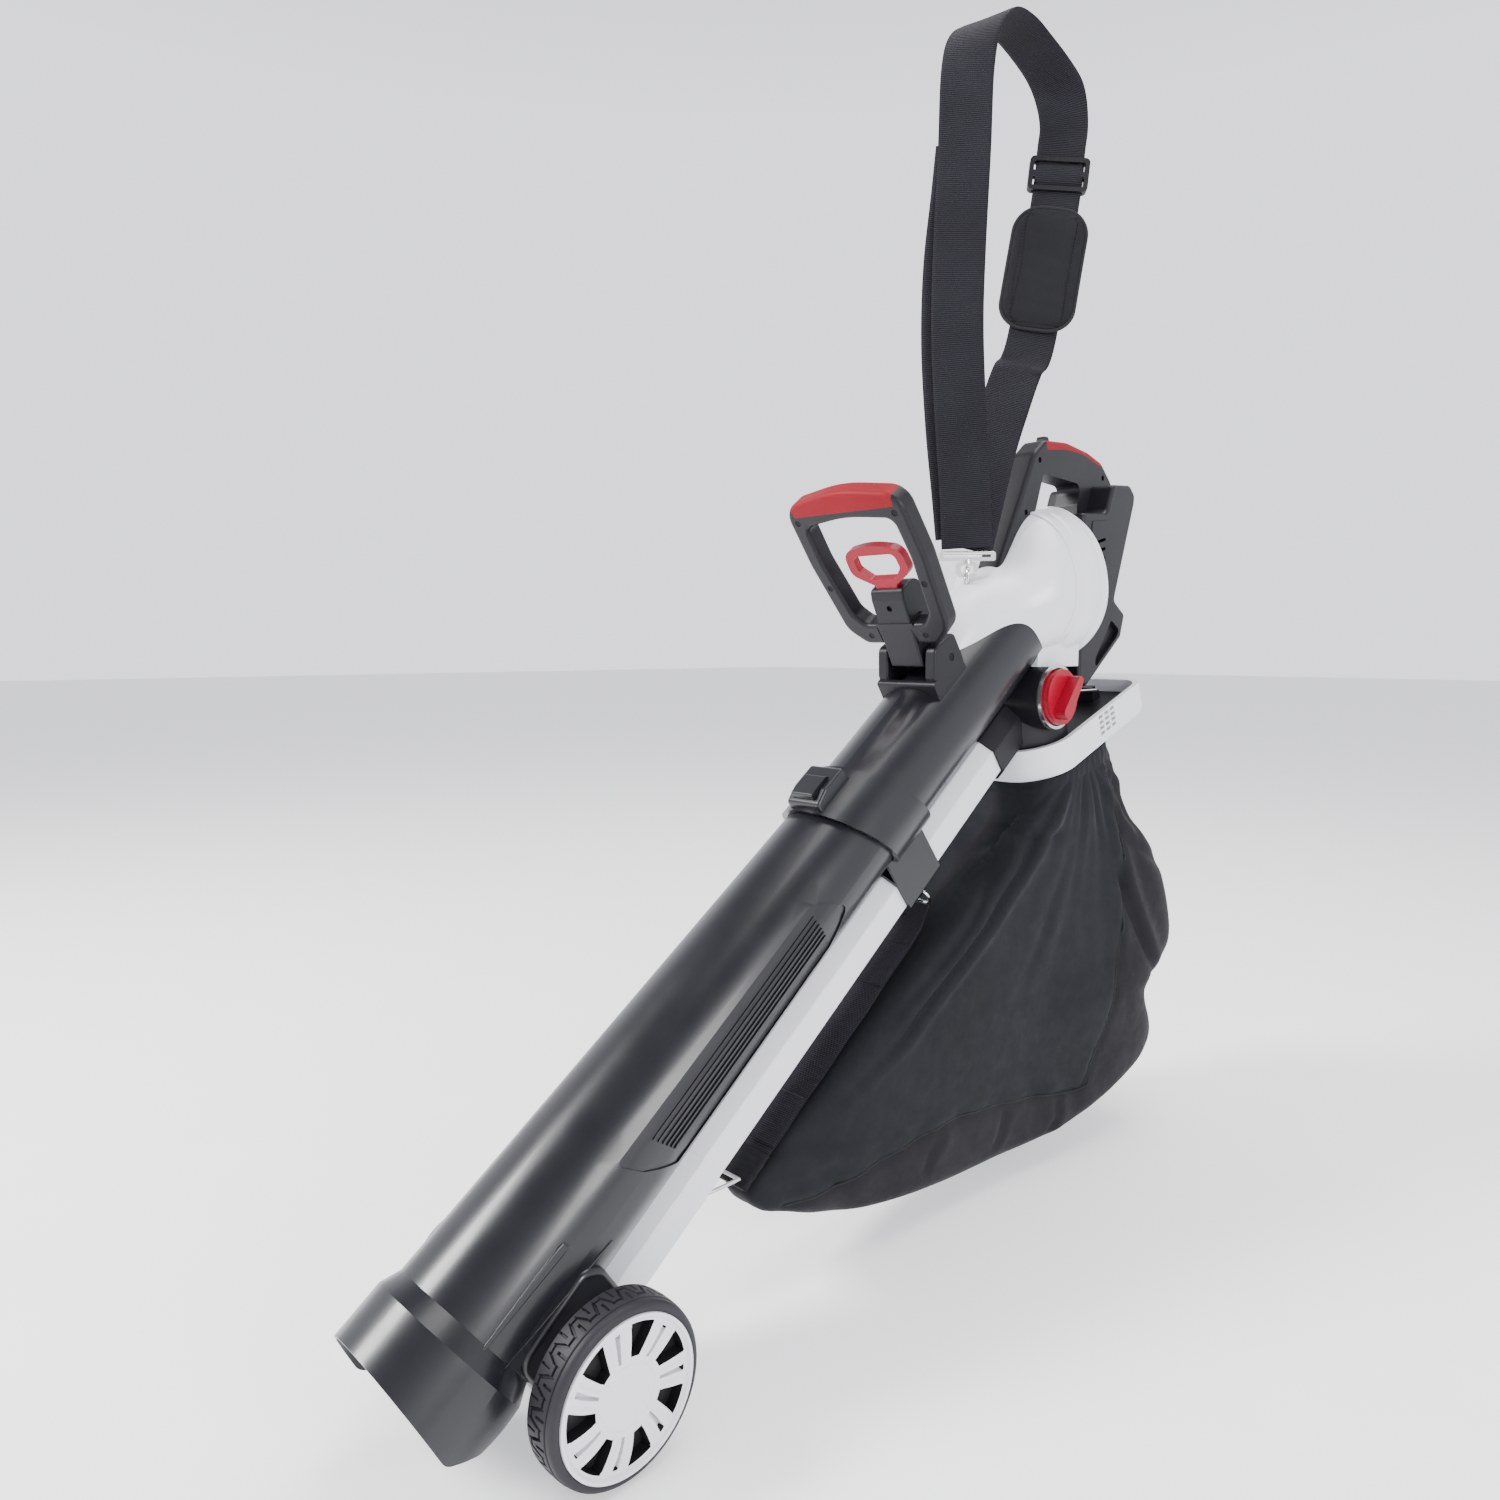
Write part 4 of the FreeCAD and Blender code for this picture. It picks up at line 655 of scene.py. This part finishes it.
def strap_frames(route, step=2.0, half=25.0, ripple=0.0):
    """Frames for a band along a route of (x, y, z, turn), in metres."""
    path = smooth_path([p[:3] for p in route], step)
    turns = [p[3] for p in route]
    frames = []
    length = 0.0
    for i, (point, place) in enumerate(path):
        along = (path[min(i + 1, len(path) - 1)][0] - path[max(i - 1, 0)][0]).normalized()
        turn = math.radians(lerp_list(turns, place) + ripple * math.sin(length * 0.03))
        wide = Vector((math.cos(turn), math.sin(turn), 0))
        wide = (wide - along * wide.dot(along)).normalized()
        normal = wide.cross(along)
        if i:
            length += (point - path[i - 1][0]).length
        push = ripple * 0.25 * math.sin(length * 0.021 + 1.0)
        frames.append((upright(*(point + normal * push)), wide * half / 1000, normal, length / 1000))
    return frames


def make_strap():
    loop = ribbon("strap_webbing_loop", strap_frames(STRAP_ROUTE, 2.0, 25.0, 1.6), 0.0021, WEBBING)
    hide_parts("strap_webbing")
    shifted = [(x - 1.6, y + 4.2, z, turn) for x, y, z, turn in TAIL_ROUTE]
    tail = ribbon("strap_webbing_tail", strap_frames(shifted, 2.5), 0.0019, WEBBING)


make_strap()


def on_strap(low, high, share):
    """Matrix that places x across, y square to and z along the webbing between two route points."""
    start, end = Vector(STRAP_ROUTE[low][:3]), Vector(STRAP_ROUTE[high][:3])
    up = (start - end).normalized()
    turn = math.radians(STRAP_ROUTE[low][3])
    wide = Vector((math.cos(turn), math.sin(turn), 0))
    wide = (wide - up * wide.dot(up)).normalized()
    square = up.cross(wide)
    centre = upright(*start.lerp(end, share))
    return Matrix(((wide.x, square.x, up.x, centre.x), (wide.y, square.y, up.y, centre.y),
                   (wide.z, square.z, up.z, centre.z), (0, 0, 0, 1)))


def stadium(half_x, half_z, radius, count):
    """Even points round a rounded rectangle."""
    points = []
    cx0, cz0 = half_x - radius, half_z - radius
    for cx, cz, start in ((cx0, cz0, 0), (-cx0, cz0, 90), (-cx0, -cz0, 180), (cx0, -cz0, 270)):
        for k in range(13):
            angle = math.radians(start + 90 * k / 12)
            points.append(Vector((cx + radius * math.cos(angle), cz + radius * math.sin(angle), 0)))
    lengths = [0.0]
    for i in range(len(points)):
        lengths.append(lengths[-1] + (points[(i + 1) % len(points)] - points[i]).length)
    ring, j = [], 0
    for k in range(count):
        goal = lengths[-1] * k / count
        while lengths[j + 1] < goal:
            j += 1
        share = (goal - lengths[j]) / max(lengths[j + 1] - lengths[j], 1e-9)
        ring.append(points[j].lerp(points[(j + 1) % len(points)], share))
    return ring


PAD_BEND = 0.0009                      # how fast the pad curves away along its length, per millimetre
PAD_LIFT = 1.5                         # the pad's middle stands this far off the webbing's middle line
PAD_STITCHES = ((-26, -58, 26, -58), (-26, -61, 26, -61), (-26, 58, 26, 58), (-27, -58, -27, 58),
                (27, -58, 27, 58))     # x, z of each row's ends


def make_pad():
    place = on_strap(15, 16, 0.5)
    count, rows = 120, 26
    ring = stadium(37.5, 67, 27, count)
    verts, faces, uvs = [], [], []
    for face in (1, -1):
        for i in range(rows + 1):
            r = i / rows
            for p in ring:
                x, z = p.x * r, p.y * r
                height = 4.6 * (1 - r ** 5) ** 0.5
                if face < 0 and abs(x) < 27 and abs(z) < 60:
                    height += 1.2 * (1 - (abs(x) / 27) ** 10) * (1 - (abs(z) / 60) ** 14)
                height += 0.18 * math.sin(z * 0.32 + x * 0.05) * (1 - r ** 3)
                bend = PAD_BEND * z * z
                verts.append(place @ (Vector((x, face * height - bend + PAD_LIFT, z)) / 1000))
                uvs.append((x / 1000, z / 1000))
    half = (rows + 1) * count
    for side in (0, 1):
        base = side * half
        for i in range(rows):
            for k in range(count):
                m = (k + 1) % count
                a, b = base + i * count + k, base + i * count + m
                faces.append((a, b, b + count, a + count))
    pad = add_mesh("strap_pad_cushion", verts, faces, PAD_CLOTH, uvs)
    bm = bmesh.new()
    bm.from_mesh(pad.data)
    bmesh.ops.remove_doubles(bm, verts=bm.verts, dist=0.00005)
    bmesh.ops.recalc_face_normals(bm, faces=bm.faces)
    bm.to_mesh(pad.data)
    bm.free()
    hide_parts("strap_pad")
    edge = stadium(38, 67.5, 27.5, 160)
    bead = [place @ (Vector((p.x, -PAD_BEND * p.y * p.y + PAD_LIFT, p.y)) / 1000) for p in edge]
    piping = tube_mesh("strap_pad_piping", bead, 0.0019, PIPING, 10, True)
    lines = []
    for x0, z0, x1, z1 in PAD_STITCHES:
        lines.append((place @ (Vector((x0, -4.6, z0)) / 1000), place @ (Vector((x1, -4.6, z1)) / 1000)))
    rows_of_thread = stitches("strap_pad_stitches", lines, place.to_3x3() @ Vector((0, -1, 0)), THREAD)


make_pad()


def make_slider_wrap():
    """Webbing that runs over the slider's middle bar."""
    place = on_strap(14, 15, 0.5)
    frames = []
    for k in range(41):
        t = -1 + 2 * k / 40
        z = 13.2 * t
        lift = 5.2 * (1 - abs(t) ** 2.4) - 1.2
        slope = place.to_3x3() @ Vector((0, 1, 0))
        across = place.to_3x3() @ Vector((0.0247, 0, 0))
        frames.append((place @ (Vector((0, -lift, z)) / 1000), across, slope, z / 1000))
    wrap = ribbon("strap_slider_wrap", frames, 0.0019, WEBBING)


make_slider_wrap()


BAG_STRAP_LOW, BAG_STRAP_LONG = 196, 298   # where the bag strap starts along the tube, and its length


def strap_sag(s):
    """How far the bag strap hangs away from the tube at a place along it."""
    return 1.6 * math.sin((s - BAG_STRAP_LOW) / BAG_STRAP_LONG * math.pi) + 0.5 * math.sin(s * 0.09)


def tube_normal(s):
    return (tube(0, s, 1) - tube(0, s, 0)).normalized()


def make_bag_strap():
    frames = []
    for k in range(161):
        s = BAG_STRAP_LOW + BAG_STRAP_LONG * k / 160
        half = 20.0 if s < 462 else 20.0 - 9.0 * ((s - 462) / 32) ** 1.3
        centre = tube(0, s, -73 - strap_sag(s))
        frames.append((centre, Vector((half / 1000, 0, 0)), tube_normal(s), s / 1000))
    strap = ribbon("bag_strap_webbing", frames, 0.002, WEBBING)
    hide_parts("bag_strap")
    outward_normal = (tube(0, 0, -1) - tube(0, 0, 0)).normalized()
    for name, n_level, out in (("front", -75.9, outward_normal), ("back", -73.2, -outward_normal)):
        lines = []
        for low, high in ((222, 256), (398, 432)):
            corners = [(-17, low), (17, low), (17, high), (-17, high)]
            pairs = [(0, 1), (1, 2), (2, 3), (3, 0), (0, 2), (1, 3)]
            for a, b in pairs:
                lines.append((tube(*corners[a], n_level), tube(*corners[b], n_level)))
        thread = stitches("bag_strap_stitches_" + name, lines, out, THREAD)
    for low, high in ((214, 264), (392, 440)):
        patch = []
        for k in range(25):
            s = low + (high - low) * k / 24
            patch.append((tube(0, s, -71 - strap_sag(s)), Vector((0.0196, 0, 0)), tube_normal(s), s / 1000))
        fold = ribbon("bag_strap_fold_%d" % low, patch, 0.002, WEBBING)
    pocket = []
    for k in range(21):
        s = 172 + 34 * k / 20
        centre = tube(0, s, -73 - 0.4 * math.sin(k))
        pocket.append((centre, Vector((0.021, 0, 0)), tube_normal(s), s / 1000))
    sleeve = ribbon("bag_strap_sleeve", pocket, 0.0058, PAD_CLOTH, 14, 0.15)


make_bag_strap()


# ---- wheels -------------------------------------------------------------------------------------
RIM_FACE = 101.3                       # x of the rim's lip, in millimetres
RIM_PAINTED_SHADE_DEPTH = 6.5                   # faces deeper than this get painted shade standing in for the shaded depths of the windows
RIM_WINDOWS = 7
# near-black material on the deepest window faces: painted shade of the wheel's deep openings
RIM_WINDOW_SHADE = plastic("rim_window_painted_shade", (0.010, 0.010, 0.011), 0.5, 0.00003, 0.1, shine=0.2).mat


def rim_depth(radius, angle):
    """How deep the wheel's face lies below its lip at a place, in millimetres."""
    if radius < 22.5:
        return 2.6 - 0.5 * max(0.0, min(1.0, (22.0 - radius) / 1.2))
    if radius > 50.5:
        return 0.0 if radius > 52.2 else 2.2 * (52.2 - radius) / 1.7
    pitch = 2 * math.pi / RIM_WINDOWS
    turn = angle + 0.05 * (radius - 36) / 14
    local = (turn % pitch) / pitch - 0.5
    arc = local * pitch * radius
    dome = 2.2 + 1.4 * ((radius - 36) / 14) ** 2 - 1.4
    half_window = 3.2 + 6.0 * (radius - 27) / 20
    if 27.0 < radius < 49.0 and abs(arc) < half_window:
        return dome + 9.0
    slot = abs(abs(local) - 0.5) * pitch * radius
    if 26.5 < radius < 47 and slot < 0.9 + 0.8 * (radius - 24) / 20:
        return dome + 5.0
    groove = 1.0 * math.exp(-((slot - 0.5 * (0.5 * pitch * radius - half_window) - 0.6) / 1.3) ** 2)
    groove *= min(1.0, max(0.0, (radius - 25) / 5)) * min(1.0, max(0.0, (49.5 - radius) / 4))
    return dome + groove + 0.2


def make_rim(side):
    rings, columns = 150, 560
    verts, faces, materials = [], [], []
    for i in range(rings + 1):
        radius = 54.5 * i / rings
        for k in range(columns):
            angle = 2 * math.pi * k / columns
            x = RIM_FACE - rim_depth(radius, angle)
            verts.append(Vector((side * x, radius * math.cos(angle), radius * math.sin(angle) + AXLE_HEIGHT)))
    for x, radius in ((98.0, 54.6), (75.0, 54.6), (75.0, 51.8), (90.0, 51.8), (90.0, 0.01)):
        for k in range(columns):
            angle = 2 * math.pi * k / columns
            verts.append(Vector((side * x, radius * math.cos(angle), radius * math.sin(angle) + AXLE_HEIGHT)))
    total = rings + 6
    for i in range(total - 1):
        for k in range(columns):
            m = (k + 1) % columns
            faces.append((i * columns + k, i * columns + m, (i + 1) * columns + m, (i + 1) * columns + k))
            # faces past the shade depth take the painted shade material
            deep = 0
            if i < rings:
                quad = [RIM_FACE - abs(verts[j].x) for j in faces[-1]]
                deep = 1 if max(quad) > RIM_PAINTED_SHADE_DEPTH else 0
            materials.append(deep)
    name = "left" if side < 0 else "right"
    rim = add_mesh("rim_" + name, [upright(*v) for v in verts], faces, [MATERIALS["rim_grey"].mat, RIM_WINDOW_SHADE],
                   body="wheel_" + name)
    for poly, index in zip(rim.data.polygons, materials):
        poly.material_index = index
    outward(rim)
    sharp_shading(rim, 40)
    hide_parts("wheel_rim_" + name)


def sharp_shading(obj, degrees):
    """Smooth shading that keeps edges sharper than an angle."""
    limit = math.cos(math.radians(degrees))
    bm = bmesh.new()
    bm.from_mesh(obj.data)
    for edge in bm.edges:
        if len(edge.link_faces) == 2 and edge.link_faces[0].normal.dot(edge.link_faces[1].normal) < limit:
            edge.smooth = False
    bm.to_mesh(obj.data)
    bm.free()


TREAD_BLOCKS = 20
TREAD_LOW, TREAD_HIGH, TREAD_WIDE, TREAD_DEPTH = 74.2, 92.8, 18.6, 1.9


def tread(angle, x):
    """Groove depth of the tyre's zigzag tread; x runs from 0 at the inner edge to 1 at the outer one."""
    beat = (angle / (2 * math.pi) * TREAD_BLOCKS) % 1.0
    swing = max(0.0, min(1.0, (abs(beat - 0.5) - 0.14) / 0.2))
    zigzag = 0.24 + 0.52 * swing
    half_width = 0.05 if swing in (0.0, 1.0) else 0.15
    if abs(x - zigzag) < half_width:
        return 1.0
    if abs(beat - 0.5) < 0.04 and 0.5 < x < 0.96:
        return 1.0
    if abs(beat - 0.5) > 0.46 and 0.04 < x < 0.5:
        return 1.0
    return 0.0


def make_tyre(side):
    columns = 900
    profile = [(99.6, 54.7), (100.2, 55.6), (100.2, 56.8), (99.8, 58.4), (98.9, 59.8), (97.6, 60.8),
               (95.8, 61.3), (94.2, 61.4), (93.4, 60.6)]
    flat = [(TREAD_HIGH - TREAD_WIDE * k / 44, 62.4 - 0.5 * ((k / 44 - 0.5) * 2) ** 2) for k in range(45)]
    inner = [(73.4, 61.0), (72.4, 59.8), (72.1, 57.5), (72.2, 54.7)]
    rows = profile + flat + inner
    verts, faces = [], []
    for i, (x, radius) in enumerate(rows):
        across = (x - TREAD_LOW) / TREAD_WIDE
        for k in range(columns):
            angle = 2 * math.pi * k / columns
            r = radius
            if len(profile) <= i < len(profile) + len(flat):
                r -= TREAD_DEPTH * tread(angle, across)
            verts.append(Vector((side * x, r * math.cos(angle), r * math.sin(angle) + AXLE_HEIGHT)))
    for i in range(len(rows)):
        j = (i + 1) % len(rows)
        for k in range(columns):
            m = (k + 1) % columns
            faces.append((i * columns + k, i * columns + m, j * columns + m, j * columns + k))
    name = "left" if side < 0 else "right"
    places = [upright(*v) for v in verts]
    rubber = MATERIALS["tyre_black"].mat
    tyre = outward(add_mesh("tyre_tread_" + name, places, faces, rubber, body="wheel_" + name))
    sharp_shading(tyre, 35)
    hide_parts("tyre_" + name)


for wheel_side in (-1, 1):
    make_rim(wheel_side)
    make_tyre(wheel_side)


# ---- ribs on the suction tube -------------------------------------------------------------------
def tube_radius(s):
    """Outer radius and axis height of the lower suction tube at a place along it."""
    share = (s + 32) / 484
    return 57.0 + (48.8 - 57.0) * share, 65.0 + (61.8 - 65.0) * share


def make_ribs():
    """Raised bands that run together into a V near each wheel."""
    bands = [((-41, 22), (44, 19.5), 1.2, 3.6), ((-45, 2), (66, -14), 0.6, 1.6)]
    for name, sign in (("right", 1), ("left", -1)):
        for index, ((s0, a0), (s1, a1), low, high) in enumerate(bands):
            frames = []
            for k in range(49):
                t = k / 48
                s = s0 + (s1 - s0) * t
                angle = math.radians(a0 + (a1 - a0) * t)
                radius, level = tube_radius(s)
                centre = tube(sign * radius * math.cos(angle), s, level + radius * math.sin(angle))
                normal = (centre - tube(0, s, level)).normalized()
                along = (tube(0, 1, 0) - tube(0, 0, 0)).normalized()
                half = low + (high - low) * min(1.0, t * 1.1) * (1 - max(0.0, t - 0.93) * 6)
                rise = min(1.0, t / 0.06, (1 - t) / 0.06)
                lifted = centre + normal * (0.0002 * rise - 0.0006)
                frames.append((lifted, normal.cross(along) * half / 1000, normal, s / 1000))
            rib = ribbon("tube_rib_%s_%d" % (name, index), frames, 0.0026, MATERIALS["black_gloss"].mat)


make_ribs()


# ---- raised lips on the fan housing -------------------------------------------------------------
FAN_HEIGHT = 611


def housing_trees():
    trees = []
    for name in ("volute_left", "volute_right"):
        node = NODES[name]
        points = [node.matrix_world @ v.co for v in node.data.vertices]
        trees.append(BVHTree.FromPolygons(points, [tuple(p.vertices) for p in node.data.polygons]))
    return trees


def housing_lip(name, level, half, thick, start, stop, trees):
    """Band that follows the housing's skin round the fan's axis, from one angle to another."""
    hits = []
    steps = 160
    for k in range(steps + 1):
        angle = math.radians(start + (stop - start) * k / steps)
        out = Vector((math.cos(angle), 0, math.sin(angle)))
        origin = upright(0, level, FAN_HEIGHT) + out * 0.14
        found = [tree.ray_cast(origin, -out, 0.14) for tree in trees]
        found = [f for f in found if f[0] is not None]
        if found:
            point, normal = min(found, key=lambda f: f[3])[:2]
            hits.append((point, normal if normal.dot(out) > 0 else -normal))
    frames = []
    length = 0.0
    for i, (point, normal) in enumerate(hits):
        before, after = hits[max(i - 1, 0)][0], hits[min(i + 1, len(hits) - 1)][0]
        along = (after - before).normalized()
        if i:
            length += (point - hits[i - 1][0]).length
        near = [hits[j][1] for j in range(max(0, i - 3), min(len(hits), i + 4))]
        smooth = sum(near, Vector((0, 0, 0))).normalized()
        rise = min(1.0, i / 6, (len(hits) - 1 - i) / 6)
        lifted = point + smooth * (thick * (0.12 * rise - 0.35))
        frames.append((lifted, smooth.cross(along).normalized() * half, smooth, length))
    lip = ribbon(name, frames, thick, MATERIALS["grey_shell"].mat, 14, 0.1)


HOUSING_TREES = housing_trees()
housing_lip("housing_lip_front", 599, 0.0032, 0.0066, -48, 228, HOUSING_TREES)
housing_lip("housing_lip_rear", 648, 0.0024, 0.0044, -48, 228, HOUSING_TREES)


# ---- softened edges -----------------------------------------------------------------------------
ROUNDED = {
    "front_handle_front_half": 0.0008, "front_handle_rear_half": 0.0008, "front_handle_grip": 0.001,
    "rear_body_left": 0.0012, "rear_body_right": 0.0012, "rear_grip": 0.001, "tube_collar": 0.0008,
    "release_ring": 0.0014, "mode_knob": 0.0010, "bag_frame": 0.0016, "strap_slider": 0.0012,
    "diverter_housing": 0.0012, "handle_bracket": 0.0010, "power_slider": 0.0006, "release_tongue": 0.0008,
    "vent_panel_left": 0.0006, "vent_panel_right": 0.0006, "frame_plate": 0.0008, "blow_nozzle": 0.0008,
    "blow_tube_lower": 0.0008, "blow_tube_upper": 0.0008, "hook_eye": 0.0008, "snap_hook": 0.0006,
    "suction_tube_lower": 0.0006, "knob_ring": 0.0004}


def round_edges():
    for name, width in ROUNDED.items():
        bevel = NODES[name].modifiers.new("soft edge", "BEVEL")
        bevel.width = width
        bevel.segments = 3
        bevel.limit_method = "ANGLE"
        bevel.angle_limit = math.radians(35)
        bevel.harden_normals = False
        bevel.use_clamp_overlap = True


round_edges()


# ---- stage, light and camera --------------------------------------------------------------------
def add_floor():
    mesh = bpy.data.meshes.new("floor")
    size = 20.0
    low = -0.0005
    corners = [(-size, -size, low), (size, -size, low), (size, size, low), (-size, size, low)]
    mesh.from_pydata(corners, [], [(0, 1, 2, 3)])
    floor = bpy.data.objects.new("floor", mesh)
    bpy.context.collection.objects.link(floor)
    paper = plastic("floor", (0.90, 0.90, 0.90), 0.7, 0.00001, 0.01, shine=0.2)
    paper.shader.inputs["Emission Color"].default_value = (0.94, 0.955, 1.0, 1)
    paper.shader.inputs["Emission Strength"].default_value = 0.45
    floor.data.materials.append(paper.mat)


def add_light(name, location, target, size, power):
    data = bpy.data.lights.new(name, "AREA")
    data.energy = power
    data.size = size
    light = bpy.data.objects.new(name, data)
    light.location = location
    light.rotation_euler = (Vector(target) - Vector(location)).to_track_quat("-Z", "Y").to_euler()
    bpy.context.collection.objects.link(light)


def add_camera():
    data = bpy.data.cameras.new("camera")
    data.lens = 25.9
    data.sensor_width = 36.0
    camera = bpy.data.objects.new("camera", data)
    camera.location = (0.638, -0.7435, 0.556)
    camera.rotation_euler = (math.radians(84.5), 0, math.radians(46.3))
    bpy.context.collection.objects.link(camera)
    bpy.context.scene.camera = camera


def set_world():
    """Bright towards the horizon, dimmer overhead, so that dark plastic keeps its depth."""
    world = bpy.data.worlds.new("studio")
    world.use_nodes = True
    nodes, links = world.node_tree.nodes, world.node_tree.links
    coords = nodes.new("ShaderNodeTexCoord")
    split = nodes.new("ShaderNodeSeparateXYZ")
    ramp = nodes.new("ShaderNodeMapRange")
    links.new(coords.outputs["Generated"], split.inputs["Vector"])
    links.new(split.outputs["Z"], ramp.inputs["Value"])
    for key, number in (("From Min", 0.42), ("From Max", 0.8), ("To Min", 1.75), ("To Max", 0.45)):
        ramp.inputs[key].default_value = number
    links.new(ramp.outputs["Result"], nodes["Background"].inputs["Strength"])
    nodes["Background"].inputs["Color"].default_value = (0.94, 0.955, 1.0, 1)
    bpy.context.scene.world = world


add_floor()
set_world()
add_light("key", (-1.4, -2.0, 2.2), (0, 0, 0.45), 0.9, 150)
add_light("fill", (2.4, -0.3, 1.2), (0, 0.1, 0.4), 0.8, 45)
add_light("top", (0.2, 0.6, 3.0), (0, 0.1, 0.4), 2.0, 80)
add_camera()
